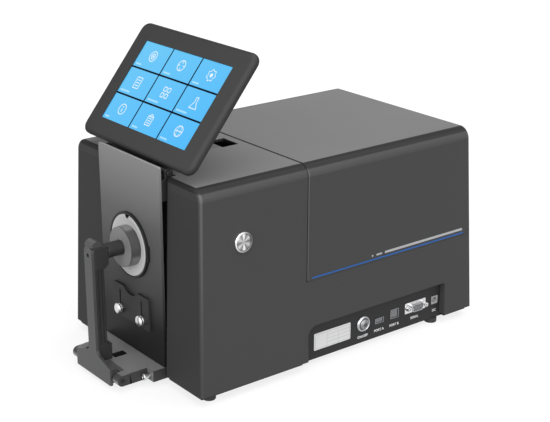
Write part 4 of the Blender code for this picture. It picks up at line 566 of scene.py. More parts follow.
# Base tray: folded steel sheet under the case, painted dark grey, whose right edge turns up into the
# connector panel. Eight low screw heads hold it to the housing's lugs and to the cradle.
tray_low, tray_high = case_box("base_tray")
SHEET = 0.0025
TRAY_FRONT = 0.003
TRAY_BOTTOM = tray_low.z
TRAY_TOP = TRAY_BOTTOM + SHEET
TRAY_HALF_WIDTH = tray_high.x
FLANGE_TOP = TRAY_BOTTOM + 0.012
painted_steel = finish("painted_steel", srgb(38, 38, 39), 0.55, grain=2200, depth=0.00003, cloud=12,
                       spread=0.05, specular=0.2)
tray = piece_from(case_block((-TRAY_HALF_WIDTH, TRAY_FRONT, TRAY_BOTTOM),
                             (TRAY_HALF_WIDTH, CASE_LENGTH - TRAY_FRONT, TRAY_TOP)), "tray_sheet")
cut(tray,
    case_block((-CHANNEL_HALF_WIDTH, TRAY_FRONT - REACH, TRAY_BOTTOM - REACH),
               (CHANNEL_HALF_WIDTH, CHANNEL_DEPTH, TRAY_TOP + REACH)),
    case_block((PANEL_FACE, panel_front, TRAY_BOTTOM - REACH),
               (TRAY_HALF_WIDTH + REACH, panel_rear, TRAY_TOP + REACH)))
join(tray,
     case_block((PANEL_FACE - SHEET, panel_front, TRAY_BOTTOM), (PANEL_FACE, panel_rear, tray_high.z)),
     case_block((-TRAY_HALF_WIDTH, panel_front, TRAY_BOTTOM),
                (SHEET - TRAY_HALF_WIDTH, panel_rear, FLANGE_TOP)))


def panel_hole(low, high):
    """A square cutter through the panel, a little larger than the fitting it takes."""
    return block((PANEL_FACE - SHEET - 2 * REACH, low.y - GAP, low.z - GAP),
                 (PANEL_FACE + REACH, high.y + GAP, high.z + GAP))


def edged(piece, width, segments=2):
    """Small rounded edges, as machining and moulding leave them."""
    rounding = piece.modifiers.new("edges", "BEVEL")
    rounding.width = width
    rounding.segments = segments
    rounding.limit_method = "ANGLE"
    rounding.angle_limit = SHARP
    rounding.use_clamp_overlap = True
    rounding.harden_normals = True
    return shaded(piece, math.radians(60))


SERIAL_PLACE = on_case(PANEL_FACE, 0.292, 0.0182)
SERIAL_WIDTH = 0.017
SERIAL_HEIGHT = 0.0084
POWER_PLACE = on_case(PANEL_FACE, 0.216, 0.0178)
POWER_NECK = 0.0071
tube_half = Vector((0, SERIAL_WIDTH / 2, SERIAL_HEIGHT / 2))
cut(tray, *[panel_hole(*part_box(name)) for name in ("usb_a_socket", "usb_b_socket", "dc_jack")],
    panel_hole(SERIAL_PLACE - tube_half, SERIAL_PLACE + tube_half),
    rod(POWER_NECK + GAP, POWER_PLACE - Vector((SHEET + REACH, 0, 0)), POWER_PLACE + Vector((REACH, 0, 0))))
edged(tray, 0.0005)
fitted(tray, painted_steel, "case", "base_tray")
black_steel = finish("black_steel", srgb(30, 30, 31), 0.38, metallic=0.6, grain=2500, depth=0.00001)
SCREW_HEAD = 0.0035
SCREW_RISE = 0.0012
DRIVE_SLOT = Vector((0.0022, 0.0003, 0.0005))
screw_places = [(a * 0.110, b) for a in (-1, 1) for b in (0.031, 0.359)]
screw_places += [(a * 0.020, b) for a in (-1, 1) for b in (0.060, 0.080)]
for number, (x, y) in enumerate(screw_places):
    profile = [(0, SCREW_RISE), (SCREW_HEAD * 0.6, 0.0011), (SCREW_HEAD, 0.0004), (SCREW_HEAD, 0), (0, 0)]
    start = on_case(x, y, TRAY_BOTTOM - GAP / 10)
    head = piece_from(spun(profile, start, (0, 0, -1), 32), f"tray_screw_{number}")
    middle = on_case(x, y, TRAY_BOTTOM - 0.0010)
    cut(head, *[block(middle - half, middle + half) for half in (DRIVE_SLOT, DRIVE_SLOT.yxz)])
    fitted(shaded(head), black_steel, "case")


# Feet: four black rubber pads under the tray, moulded with a chamfer and a shallow ring in the sole.
FOOT_RADIUS = 0.007
rubber = finish("foot_rubber", srgb(34, 34, 34), 0.75, grain=1800, depth=0.00006, spread=0.1)


def turned(name, profile, start, direction, sides=48, angle=SHARP):
    """A piece turned on a lathe, with its round faces shaded smooth."""
    return shaded(piece_from(spun(profile, start, direction, sides), name), angle)


for foot in [f"foot_{end}_{side}" for end in ("front", "rear") for side in ("left", "right")]:
    low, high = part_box(foot)
    height = high.z - low.z
    sole = [(0, 0.0004), (0.0036, 0.0004), (0.0040, 0), (FOOT_RADIUS - 0.0009, 0),
            (FOOT_RADIUS - 0.0002, 0.0003), (FOOT_RADIUS, 0.0010), (FOOT_RADIUS, height - 0.0004),
            (FOOT_RADIUS - 0.0004, height), (0, height)]
    middle = (low + high) / 2
    pad = turned(f"{foot}_pad", sole, Vector((middle.x, middle.y, low.z)), (0, 0, 1))
    fitted(pad, rubber, "case", foot)


# Front plate: 3 mm aluminium, grey anodised, that covers the channel in the housing's front. It carries
# the port and the sample rest, and its upper corners are slightly rounded.
plate_low, plate_high = case_box("front_plate")
PLATE_THICKNESS = plate_high.y - plate_low.y
PLATE_CORNER = 0.0015
TUBE_RADIUS = 0.034
REST_SCREW_X = 0.0204
REST_SCREW_HEIGHT = 0.049
REST_SCREW_BORE = 0.0012
BRUSHED_UP = (1, 1, 0.12)
PLATE_PAINTED_SHADE_TONES = ((0, 28), (0.18, 33), (0.30, 54), (0.70, 92), (1, 130))


def anodised(name, colour, roughness, **others):
    """Brushed aluminium under a dull anodised skin."""
    return finish(name, colour, roughness, grain=1600, depth=0.000015, spread=0.05, **others)


def top_corners(half, top, radius):
    """The rounded upper corners of an outline, the right one first."""
    return (bow((half - radius, top - radius), radius, 0, 90, 6),
            bow((radius - half, top - radius), radius, 90, 180, 6))


right_corner, left_corner = top_corners(plate_high.x, plate_high.z, PLATE_CORNER)
outline = [(-plate_high.x, plate_low.z), (plate_high.x, plate_low.z)] + right_corner + left_corner
plate = piece_from(prism(outline, 0, PLATE_THICKNESS, "y"), "front_plate_sheet")
plate_rear = PLATE_THICKNESS + REACH
cut(plate, bored(TUBE_RADIUS + GAP, 0, PORT_HEIGHT, -REACH, plate_rear, 96),
    *[bored(REST_SCREW_BORE, x, REST_SCREW_HEIGHT, -REACH, plate_rear, 24)
      for x in (-REST_SCREW_X, REST_SCREW_X)])
edged(plate, 0.0003)
anodised_plate = anodised("anodised_plate", WHITE, 0.45, cloud=5, stretch=BRUSHED_UP, specular=0.1)
# Painted light and shade on the plate: darker towards its foot, painted shade by the shelf, and lighter
# towards its top, painted light from above.
painted_shading(anodised_plate, up_share(anodised_plate, *[corner.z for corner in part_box("front_plate")]), PLATE_PAINTED_SHADE_TONES)
fitted(plate, anodised_plate, "case", "front_plate")


# Port bezel: a black anodised tube through the plate with a flange and a small tab on its right.
BEZEL_RADIUS = 0.0347
BEZEL_FLANGE = 0.0031
TUBE_BORE = 0.0325
TAB_STAND = 0.0028
TAB_HALF_HEIGHT = 0.0085
TAB_WIDTH = 0.003
TAB_X = TUBE_BORE + 0.0005
black_anodised = finish("black_anodised", srgb(34, 34, 35), 0.45, metallic=0.3, grain=2000, depth=0.00001,
                        cloud=10, spread=0.08, specular=0.2)
base = CHANNEL_DEPTH - GAP
face = base + GAP + BEZEL_FLANGE
ring = [(TUBE_BORE, 0), (TUBE_BORE, face - 0.0003), (TUBE_BORE + 0.0003, face), (BEZEL_RADIUS - 0.0004, face),
        (BEZEL_RADIUS, face - 0.0004), (BEZEL_RADIUS, face - BEZEL_FLANGE),
        (TUBE_RADIUS, face - BEZEL_FLANGE), (TUBE_RADIUS, 0)]
bezel = piece_from(spun(ring, on_case(0, base, PORT_HEIGHT), (0, -1, 0), 128), "port_ring")


def rounded(bm, axis, radius, segments):
    """Round a block's four edges that run along one axis: 0, 1 or 2."""
    soften(bm, [e for e in bm.edges if abs(e.verts[0].co[axis] - e.verts[1].co[axis]) > GAP / 2],
           radius, segments)
    return bm


tab = case_block((TAB_X, -TAB_STAND, PORT_HEIGHT - TAB_HALF_HEIGHT),
                 (TAB_X + TAB_WIDTH, -GAP, PORT_HEIGHT + TAB_HALF_HEIGHT))
join(bezel, rounded(tab, 1, 0.0008, 4))
fitted(shaded(bezel), black_anodised, "case", "port_bezel")


# Light aperture mask: a turned disc with a raised rim and a sloping dish round the 25.4 mm opening, painted
# pale so that it scatters light. A notch in the rim lines it up, and its walls get the black finish.
MASK_RADIUS = 0.0322
MASK_STAND = 0.0033
MASK_FACE = 0.0008
MASK_REAR = 0.003
DISH_OUTER = 0.0295
DISH_INNER = 0.0225
APERTURE = 0.0127
NOTCH_RADIUS = 0.0034
mask_paint = finish("mask_paint", srgb(186, 186, 186), 0.6, grain=2500, depth=0.00001, cloud=14, spread=0.03,
                    specular=0.2)
rim = MASK_REAR + MASK_STAND
face = MASK_REAR + MASK_FACE
disc = [(APERTURE, 0), (APERTURE, face - 0.0002), (APERTURE + 0.0002, face), (DISH_INNER - 0.0003, face),
        (DISH_INNER + 0.0002, face + 0.0001), (DISH_OUTER - 0.0003, rim - 0.0001), (DISH_OUTER, rim),
        (MASK_RADIUS - 0.0006, rim), (MASK_RADIUS - 0.0001, rim - 0.0004), (MASK_RADIUS, rim - 0.0009),
        (MASK_RADIUS, 0)]
mask = piece_from(spun(disc, on_case(0, MASK_REAR, PORT_HEIGHT), (0, -1, 0), 128), "mask_disc")
notch = on_case(0, 0, PORT_HEIGHT + MASK_RADIUS)
cut(mask, bored(NOTCH_RADIUS, 0, PORT_HEIGHT + MASK_RADIUS, -MASK_STAND - REACH, MASK_REAR + REACH, 32))
fitted(mask, mask_paint, "case", "aperture_mask")
mask.data.materials.append(black_anodised)
for polygon in mask.data.polygons:
    offset = polygon.center - notch
    offset.y = 0
    if offset.length < NOTCH_RADIUS + GAP and abs(polygon.normal.y) < 0.5:
        polygon.material_index = 1
shaded(mask)


# Sample rest: a grey anodised plate with a scooped upper edge, which slides up and down on two thumbscrews
# through its slots so that the sample stands in the middle of the port.
rest_low, rest_high = case_box("sample_rest")
REST_CORNER = 0.003
SCOOP_HALF_WIDTH = 0.0135
SCOOP_DEPTH = 0.006
SLOT_HALF = 0.0012
REST_TRAVEL = 0.020
REST_PAINTED_SHADE_TONES = ((0, 48), (0.30, 48), (0.40, 44), (0.52, 44), (0.62, 34), (1, 34))
scoop_radius = (SCOOP_HALF_WIDTH ** 2 + SCOOP_DEPTH ** 2) / (2 * SCOOP_DEPTH)
swing = math.degrees(math.asin(SCOOP_HALF_WIDTH / scoop_radius))
scoop = bow((0, rest_high.z - SCOOP_DEPTH + scoop_radius), scoop_radius, 270 + swing, 270 - swing, 20)
right_corner, left_corner = top_corners(rest_high.x, rest_high.z, REST_CORNER)
outline = [(-rest_high.x, rest_low.z), (rest_high.x, rest_low.z)] + right_corner + scoop + left_corner
rest = piece_from(prism(outline, rest_low.y, -GAP, "y"), "rest_plate_sheet")
for x in (-REST_SCREW_X, REST_SCREW_X):
    slot = case_block((x - SLOT_HALF, rest_low.y - REACH, REST_SCREW_HEIGHT - SLOT_HALF),
                      (x + SLOT_HALF, REACH, REST_SCREW_HEIGHT + REST_TRAVEL + SLOT_HALF))
    cut(rest, rounded(slot, 1, SLOT_HALF * 0.95, 5))
edged(rest, 0.0003)
anodised_rest = anodised("anodised_rest", WHITE, 0.4, specular=0.1, stretch=BRUSHED_UP)
# Painted shade on the rest: faces seen at a low angle, the upper rim round the scoop, are painted darker than
# its front.
painted_shading(anodised_rest, turned_away(anodised_rest), REST_PAINTED_SHADE_TONES)
fitted(rest, anodised_rest, "rest_plate", "sample_rest")


# Thumbscrews: turned in one piece from bright steel, with a domed head, a neck and a flange that presses
# on the rest. The rim of the head is finely knurled.
THUMB_RADIUS = 0.0058
THUMB_LENGTH = 0.0030
NECK_RADIUS = 0.0032
NECK_LENGTH = 0.0016
FLANGE_RADIUS = 0.0050
FLANGE_LENGTH = 0.0009
SHANK_RADIUS = 0.0009
bright_steel = finish("bright_steel", srgb(214, 214, 215), 0.34, metallic=1.0, grain=2600, depth=0.000004,
                      cloud=30, spread=0.04, rough_spread=0.05)
KNURLS = 96


def knurled(bm, axis_point, radius, depth):
    """Press fine grooves into the widest ring of a turned head."""
    for vert in bm.verts:
        offset = vert.co - axis_point
        offset.y = 0
        turn = math.atan2(offset.z, offset.x) / math.tau
        if abs(offset.length - radius) < 0.00005 and round(turn * KNURLS) % 2:
            vert.co -= offset.normalized() * depth


seat = rest_low.y - GAP
neck = FLANGE_LENGTH + NECK_LENGTH
top = neck + THUMB_LENGTH
shank = seat - PLATE_THICKNESS - WALL
profile = [(0, top), (THUMB_RADIUS * 0.3, top - 0.00008), (THUMB_RADIUS * 0.55, top - 0.0003),
           (THUMB_RADIUS * 0.78, top - 0.0008), (THUMB_RADIUS * 0.93, top - 0.0014),
           (THUMB_RADIUS, top - 0.0019), (THUMB_RADIUS, neck + 0.0004), (THUMB_RADIUS * 0.94, neck),
           (NECK_RADIUS + 0.0003, neck), (NECK_RADIUS, neck - 0.0003), (NECK_RADIUS, FLANGE_LENGTH + 0.0003),
           (NECK_RADIUS + 0.0003, FLANGE_LENGTH), (FLANGE_RADIUS - 0.0002, FLANGE_LENGTH),
           (FLANGE_RADIUS, FLANGE_LENGTH - 0.0002), (FLANGE_RADIUS, 0), (SHANK_RADIUS, 0),
           (SHANK_RADIUS, shank), (0, shank)]
for side, x in (("left", -REST_SCREW_X), ("right", REST_SCREW_X)):
    start = on_case(x, seat, REST_SCREW_HEIGHT)
    bm = spun(profile, start, (0, -1, 0), KNURLS)
    knurled(bm, start, THUMB_RADIUS, 0.0002)
    screw = shaded(piece_from(bm, f"thumbscrew_{side}_knob"), math.radians(40))
    fitted(screw, bright_steel, f"{side}_thumbscrew", f"thumbscrew_{side}")


# Clamp bracket: the shelf under the plate, machined from aluminium and grey anodised, with an upstand
# behind the plate and two cheeks that carry the pin of the clamp arm.
SHELF_BOTTOM = case_box("clamp_bracket")[0].z
SHELF_TOP = 0.0085
SHELF_FRONT = -0.034
SHOULDER = -0.0135
CHEEK_INNER = 0.035
CHEEK_OUTER = 0.045
CHEEK_RADIUS = 0.0058
UPSTAND_HALF_WIDTH = 0.050
UPSTAND_TOP = 0.040
SHELF_SLOT_HALF = 0.005
SHELF_SLOT_FRONT = -0.027
SHELF_SLOT_REAR = -0.012
AXIS = (-0.0425, 0.0022)
PIN_RADIUS = 0.002
SPRING_RADIUS = 0.0031
SPRING_WIRE = 0.0009
SPRING_START = 0.013
SPRING_PITCH = 0.0016
SPRING_TURNS = 7.75
SPRING_TRAVEL = SPRING_PITCH * (SPRING_TURNS - 0.75)
SPRING_HOLE = 0.009
SHELF_PAINTED_LIGHT_TONES = ((0, 54), (0.30, 52), (0.45, 54), (0.60, 132), (1, 136))
anodised_shelf = anodised("anodised_shelf", WHITE, 0.45, metallic=0.1, specular=0.25, stretch=(0.12, 1, 1))
# Painted light on the shelf: faces seen at a low angle, its top, are painted much lighter than its sides, as
# light from above falls on them.
painted_shading(anodised_shelf, turned_away(anodised_shelf), SHELF_PAINTED_LIGHT_TONES)


def pin_bore(radius, half, axis):
    """A cutter for a pin that runs across a piece, given half the piece's width."""
    return rod(radius + GAP, on_case(-half - REACH, *axis), on_case(half + REACH, *axis), 32)


back = CHANNEL_DEPTH - GAP
bracket = piece_from(case_block((-plate_high.x, SHOULDER, SHELF_BOTTOM), (plate_high.x, back, SHELF_TOP)),
                     "clamp_shelf")
join(bracket,
     case_block((-CHEEK_OUTER, SHELF_FRONT, SHELF_BOTTOM), (CHEEK_OUTER, SHOULDER + REACH, SHELF_TOP)),
     case_block((-UPSTAND_HALF_WIDTH, PLATE_THICKNESS + GAP, SHELF_TOP - REACH),
                (UPSTAND_HALF_WIDTH, back, UPSTAND_TOP)))
cheek = bow(AXIS, CHEEK_RADIUS, 90, 270, 20)
cheek += [(SHELF_FRONT + REACH, SHELF_BOTTOM), (SHELF_FRONT + REACH, SHELF_TOP - GAP)]
for across in (-1, 1):
    join(bracket, prism(cheek, *side_pair(across, CHEEK_INNER, CHEEK_OUTER), "x"))
slot = case_block((-SHELF_SLOT_HALF, SHELF_SLOT_FRONT, SHELF_BOTTOM - REACH),
                  (SHELF_SLOT_HALF, SHELF_SLOT_REAR, SHELF_TOP + REACH))
cut(bracket, rounded(slot, 2, 0.001, 4), pin_bore(PIN_RADIUS, CHEEK_OUTER, AXIS))
for across in (-1, 1):
    cut(bracket, bored(SPRING_WIRE / 2 + GAP, across * (SPRING_START + SPRING_TRAVEL),
                       AXIS[1] - SPRING_RADIUS, SHELF_FRONT - REACH, SHELF_FRONT + SPRING_HOLE, 16))
fitted(bracket, anodised_shelf, "case", "clamp_bracket")
# The walls of the slot in the shelf get the black finish: painted shade in the slot.
bracket.data.materials.append(black_anodised)
slot_low = on_case(-SHELF_SLOT_HALF, SHELF_SLOT_FRONT, SHELF_BOTTOM)
slot_high = on_case(SHELF_SLOT_HALF, SHELF_SLOT_REAR, SHELF_TOP)
for polygon in bracket.data.polygons:
    within = all(a - GAP < c < b + GAP for a, b, c in zip(slot_low, slot_high, polygon.center))
    if within and abs(polygon.normal.z) < 0.5:
        polygon.material_index = 1
edged(bracket, 0.0004)


# Bracket screws: bright socket-head screws in the shelf's shoulders, whose heads stop the arm's foot.
STOP_HEAD_RADIUS = 0.0036
STOP_HEAD_LENGTH = 0.0035
STOP_SHANK_RADIUS = 0.0022
STOP_SHANK_LENGTH = 0.0045
steel = finish("steel", srgb(212, 213, 215), 0.3, metallic=1.0, grain=2200, depth=0.000006, cloud=25,
               spread=0.06)
head_end = STOP_SHANK_LENGTH + STOP_HEAD_LENGTH
profile = [(0, head_end - 0.0018), (0.0014, head_end - 0.0018), (0.0014, head_end - 0.0002),
           (0.0016, head_end), (STOP_HEAD_RADIUS - 0.0005, head_end), (STOP_HEAD_RADIUS, head_end - 0.0005),
           (STOP_HEAD_RADIUS, STOP_SHANK_LENGTH + 0.0002), (STOP_HEAD_RADIUS - 0.0002, STOP_SHANK_LENGTH),
           (STOP_SHANK_RADIUS, STOP_SHANK_LENGTH), (STOP_SHANK_RADIUS, 0), (0, 0)]
for screw in ("bracket_screw_left", "bracket_screw_right"):
    low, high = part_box(screw)
    middle = (low + high) / 2
    bolt = turned(f"{screw}_bolt", profile, Vector((middle.x, high.y, middle.z)), (0, -1, 0))
    fitted(bolt, steel, "case", screw)


# Clamp pin: a ground steel pin through the cheeks and the arm's ears, with chamfered ends.
PIN_CHAMFER = 0.0004
pin_low, pin_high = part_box("clamp_pin")
length = pin_high.x - pin_low.x
profile = [(0, length), (PIN_RADIUS - PIN_CHAMFER, length), (PIN_RADIUS, length - PIN_CHAMFER),
           (PIN_RADIUS, PIN_CHAMFER), (PIN_RADIUS - PIN_CHAMFER, 0), (0, 0)]
pin = turned("clamp_hinge_pin", profile, on_case(pin_low.x, *AXIS), (1, 0, 0))
fitted(pin, black_steel, "case", "clamp_pin")


# Clamp springs: two torsion springs wound from 0.9 mm spring steel wire on the pin. One short leg points
# down behind the arm's foot, and the other runs back into the shelf.
LEG_DOWN = 0.0036
LEG_BACK = 0.0045
WIRE_SIDES = 12
STEPS_IN_A_TURN = 24


def wire(points, radius, sides, name):
    """A round wire along points: rings square to the path, bridged one after another."""
    bm = bmesh.new()
    last_loop = []
    for index, point in enumerate(points):
        before = points[max(index - 1, 0)]
        after = points[min(index + 1, len(points) - 1)]
        along = (after - before).normalized()
        ends = index in (0, len(points) - 1)
        ring = bmesh.ops.create_circle(bm, cap_ends=ends, segments=sides, radius=radius)["verts"]
        loop = list({edge for vert in ring for edge in vert.link_edges})
        across = Vector((1, 0, 0)) if abs(along.x) < 0.9 else Vector((0, 1, 0))
        side = along.cross(across).normalized()
        turn = Matrix((side.cross(along), side, along)).transposed().to_4x4()
        bmesh.ops.transform(bm, matrix=Matrix.Translation(point) @ turn, verts=ring)
        if last_loop:
            bmesh.ops.bridge_loops(bm, edges=last_loop + loop)
        last_loop = loop
    return piece_from(bm, name)


spring_steel = finish("spring_steel", srgb(165, 166, 168), 0.3, metallic=1.0, grain=3000, depth=0.000004,
                      spread=0.06)
y, z = AXIS
steps = int(SPRING_TURNS * STEPS_IN_A_TURN)
for side, across in (("left", -1), ("right", 1)):
    x = across * SPRING_START
    points = [on_case(x, y - SPRING_RADIUS, z - LEG_DOWN), on_case(x, y - SPRING_RADIUS, z - LEG_DOWN / 2)]
    for step in range(steps + 1):
        angle = math.tau * SPRING_TURNS * step / steps
        points.append(on_case(x + across * SPRING_TRAVEL * step / steps, y - SPRING_RADIUS * math.cos(angle),
                              z + SPRING_RADIUS * math.sin(angle)))
    end = x + across * SPRING_TRAVEL
    points += [on_case(end, SHELF_FRONT - SPRING_WIRE, z - SPRING_RADIUS),
               on_case(end, SHELF_FRONT + LEG_BACK, z - SPRING_RADIUS)]
    spring = shaded(wire(points, SPRING_WIRE / 2, WIRE_SIDES, f"torsion_spring_{side}"), math.radians(50))
    fitted(spring, spring_steel, "case", f"clamp_spring_{side}")


# Clamp arm, front bar: a grey anodised strip with a T-shaped foot, two ears for the pin, a round hole near
# its top and a lug for the finger.
BAR_FRONT = case_box("clamp_front_bar")[0].y
BAR_HALF_WIDTH = 0.0072
BAR_THICKNESS = 0.0033
FOOT_HALF_WIDTH = 0.033
FOOT_LOW = -0.006
FOOT_END_TOP = 0.012
FOOT_MIDDLE_TOP = 0.018
FOOT_FILLET = 0.0065
ARM_EAR_THICKNESS = 0.005
ARM_EAR_REAR = -0.0385
ARM_EAR_LOW = -0.0035
ARM_EAR_TOP = 0.008
HEAD_LOW = 0.1095
HEAD_TOP = 0.133
HEAD_REAR = -0.0303
HEAD_CHAMFER = 0.004
BAR_ABOVE_HEAD = 0.0018
LUG_TOP = 0.140
LUG_REAR = -0.037
BAR_HOLE = 0.0022
bar_back = BAR_FRONT + BAR_THICKNESS
right = [(FOOT_HALF_WIDTH, FOOT_LOW), (FOOT_HALF_WIDTH, FOOT_END_TOP)]
right += bow((BAR_HALF_WIDTH + FOOT_FILLET, FOOT_MIDDLE_TOP + FOOT_FILLET), FOOT_FILLET, 270, 180, 10)
top = bow((0, HEAD_TOP + BAR_ABOVE_HEAD - BAR_HALF_WIDTH), BAR_HALF_WIDTH, 0, 180, 32)
left = [(-x, z) for x, z in reversed(right)]
bar = piece_from(prism(right + top + left, BAR_FRONT, bar_back, "y"), "arm_front_bar")
lug_low = HEAD_TOP + GAP
lug_front = BAR_FRONT + BAR_THICKNESS / 4
lug_radius = (LUG_REAR - lug_front) / 2
lug = [(lug_front + lug_radius / 4, lug_low), (LUG_REAR, lug_low)]
lug += bow((lug_front + lug_radius, LUG_TOP - lug_radius), lug_radius, 0, 180, 20)
join(bar, prism(lug, GAP - BAR_HALF_WIDTH, BAR_HALF_WIDTH - GAP, "x"))
for across in (-1, 1):
    near, far = side_pair(across, FOOT_HALF_WIDTH - ARM_EAR_THICKNESS, FOOT_HALF_WIDTH)
    join(bar, case_block((near, bar_back - GAP, ARM_EAR_LOW), (far, ARM_EAR_REAR, ARM_EAR_TOP)))
cut(bar, pin_bore(PIN_RADIUS, FOOT_HALF_WIDTH, AXIS),
    bored(BAR_HOLE, 0, PORT_HEIGHT, BAR_FRONT - REACH, bar_back + REACH, 32))
edged(bar, 0.0004, 3)
anodised_bar = anodised("anodised_bar", srgb(75, 75, 76), 0.4, metallic=0.5, specular=0.3, stretch=BRUSHED_UP)
fitted(bar, anodised_bar, "clamp_arm", "clamp_front_bar")


# Clamp arm, spine and head: black anodised bars behind the front bar. The spine has two long grooves in
# each side and stands on a deeper block, and the head takes the presser's rod.
SPINE_HALF_WIDTH = 0.0066
SPINE_LOW = 0.020
SPINE_REAR = -0.036
BLOCK_HALF_WIDTH = 0.0063
BLOCK_LOW = 0.0095
BLOCK_TOP = 0.0265
BLOCK_REAR = -0.0306
GROOVES = (0.3, 0.68)
GROOVE_WIDTH = 0.0018
GROOVE_DEPTH = 0.0012
spine_front = bar_back + GAP
spine = piece_from(case_block((-SPINE_HALF_WIDTH, spine_front, SPINE_LOW),
                              (SPINE_HALF_WIDTH, SPINE_REAR, HEAD_LOW - GAP)),
                   "arm_spine")
join(spine, case_block((-BLOCK_HALF_WIDTH, spine_front, BLOCK_LOW),
                       (BLOCK_HALF_WIDTH, BLOCK_REAR, BLOCK_TOP)))
for share in GROOVES:
    y = spine_front + (SPINE_REAR - spine_front) * share
    for across in (-1, 1):
        near, far = side_pair(across, SPINE_HALF_WIDTH - GROOVE_DEPTH, SPINE_HALF_WIDTH + REACH)
        cut(spine, case_block((near, y - GROOVE_WIDTH / 2, BLOCK_TOP + REACH),
                              (far, y + GROOVE_WIDTH / 2, HEAD_LOW + REACH)))
edged(spine, 0.0003)
outline = [(spine_front, HEAD_LOW), (HEAD_REAR - HEAD_CHAMFER, HEAD_LOW),
           (HEAD_REAR, HEAD_LOW + HEAD_CHAMFER), (HEAD_REAR, HEAD_TOP), (spine_front, HEAD_TOP)]
head = edged(piece_from(prism(outline, -BAR_HALF_WIDTH, BAR_HALF_WIDTH, "x"), "arm_head"), 0.0005, 3)
# The arm and rod get a lighter copy of the black anodised finish of the bezel and hinge: painted light.
arm_black_painted_lighter = finish("arm_black_painted_lighter", srgb(56, 56, 57), 0.38, metallic=0.5, grain=2000, depth=0.00001, cloud=10,
                   spread=0.08, specular=0.3)
fitted(spine, arm_black_painted_lighter, "clamp_arm", "clamp_spine")
fitted(head, arm_black_painted_lighter, "clamp_arm", "clamp_head")


# Presser: a turned aluminium cup, anodised, with a narrow groove round its wall, which holds the sample flat
# on the mask. It sits on a black rod with one groove, and a small screw in the rod fixes its spindle.
CUP_RADIUS = 0.021
CUP_FLOOR = 0.002
CUP_GROOVE_DEPTH = 0.0008
CUP_GROOVE_NEAR = 0.0014
CUP_GROOVE_FAR = 0.0024
CUP_RECESS = (0.017, 0.0012)
ROD_RADIUS = 0.0077
ROD_GROOVE = 0.0006
GROOVE_Y = -0.007
CUP_PAINTED_LIGHT_TONES = ((0, 72), (0.30, 70), (0.42, 120), (0.60, 122), (1, 122))
cup_low, cup_high = case_box("presser_cup")
depth = cup_high.y - cup_low.y
floor = CUP_RECESS[1] + CUP_FLOOR
bore = ROD_RADIUS + GAP
waist = CUP_RADIUS - CUP_GROOVE_DEPTH
groove_near, groove_far = depth - CUP_GROOVE_NEAR, depth - CUP_GROOVE_FAR
profile = [(0, floor), (bore, floor), (bore, depth - 0.0003), (bore + 0.0003, depth),
           (CUP_RADIUS - 0.0004, depth), (CUP_RADIUS, depth - 0.0004), (CUP_RADIUS, groove_near),
           (waist, groove_near), (waist, groove_far), (CUP_RADIUS, groove_far),
           (CUP_RADIUS, 0.0003), (CUP_RADIUS - 0.0003, 0), (CUP_RECESS[0] + 0.0002, 0),
           (CUP_RECESS[0], 0.0002), CUP_RECESS, (0, CUP_RECESS[1])]
cup = turned("presser_cup_turning", profile, on_case(0, cup_high.y, PORT_HEIGHT), (0, -1, 0), 128, SOFT_ANGLE)
anodised_cup = finish("anodised_cup", WHITE, 0.5, metallic=0.1, grain=1800, depth=0.00001, spread=0.05,
                      specular=0.2)
# Painted light and shade on the cup: faces turned away from the eye, its flat face, are painted light, and its
# round wall, turned to the eye, painted dark.
painted_shading(anodised_cup, turned_away(anodised_cup), CUP_PAINTED_LIGHT_TONES)
fitted(cup, anodised_cup, "clamp_arm", "presser_cup")
ROD_SCREW_Y = -0.0112
ROD_SCREW_HEAD = (0.0015, 0.001)
ROD_SCREW_SHANK = (0.0009, -ROD_RADIUS / 3)
rod_low, rod_high = case_box("presser_rod")
length = rod_high.y - rod_low.y
collar = rod_high.y - GROOVE_Y
shaft = ROD_RADIUS - ROD_GROOVE
profile = [(0, length), (ROD_RADIUS - 0.0003, length), (ROD_RADIUS, length - 0.0003),
           (ROD_RADIUS, collar + ROD_GROOVE), (shaft, collar + ROD_GROOVE), (shaft, collar),
           (ROD_RADIUS, collar), (ROD_RADIUS, 0.0003), (ROD_RADIUS - 0.0003, 0), (0, 0)]
presser = piece_from(spun(profile, on_case(0, rod_high.y, PORT_HEIGHT), (0, -1, 0), 96), "presser_shaft")
crest = PORT_HEIGHT + ROD_RADIUS
cut(presser, rod(ROD_SCREW_SHANK[0] + GAP, on_case(0, ROD_SCREW_Y, crest - ROD_RADIUS / 2),
                 on_case(0, ROD_SCREW_Y, crest + REACH), 24))
fitted(shaded(presser), arm_black_painted_lighter, "clamp_arm", "presser_rod")
radius, rise = ROD_SCREW_HEAD
profile = [(0, rise), (radius * 0.6, rise), (radius, rise * 0.6), (radius, 0), (ROD_SCREW_SHANK[0], 0),
           ROD_SCREW_SHANK, (0, ROD_SCREW_SHANK[1])]
screw = turned("rod_screw_head", profile, on_case(0, ROD_SCREW_Y, crest + GAP), (0, 0, 1), 32)
fitted(screw, bright_steel, "clamp_arm", "rod_screw")


# Measure button: a silver cap with a radially spun face in a raised ring on the right side.
MEASURE_RING = 0.0105
MEASURE_STAND = 0.0016
MEASURE_CAP = 0.0084
MEASURE_DEPTH = 0.010
MEASURE_TRAVEL = 0.0012


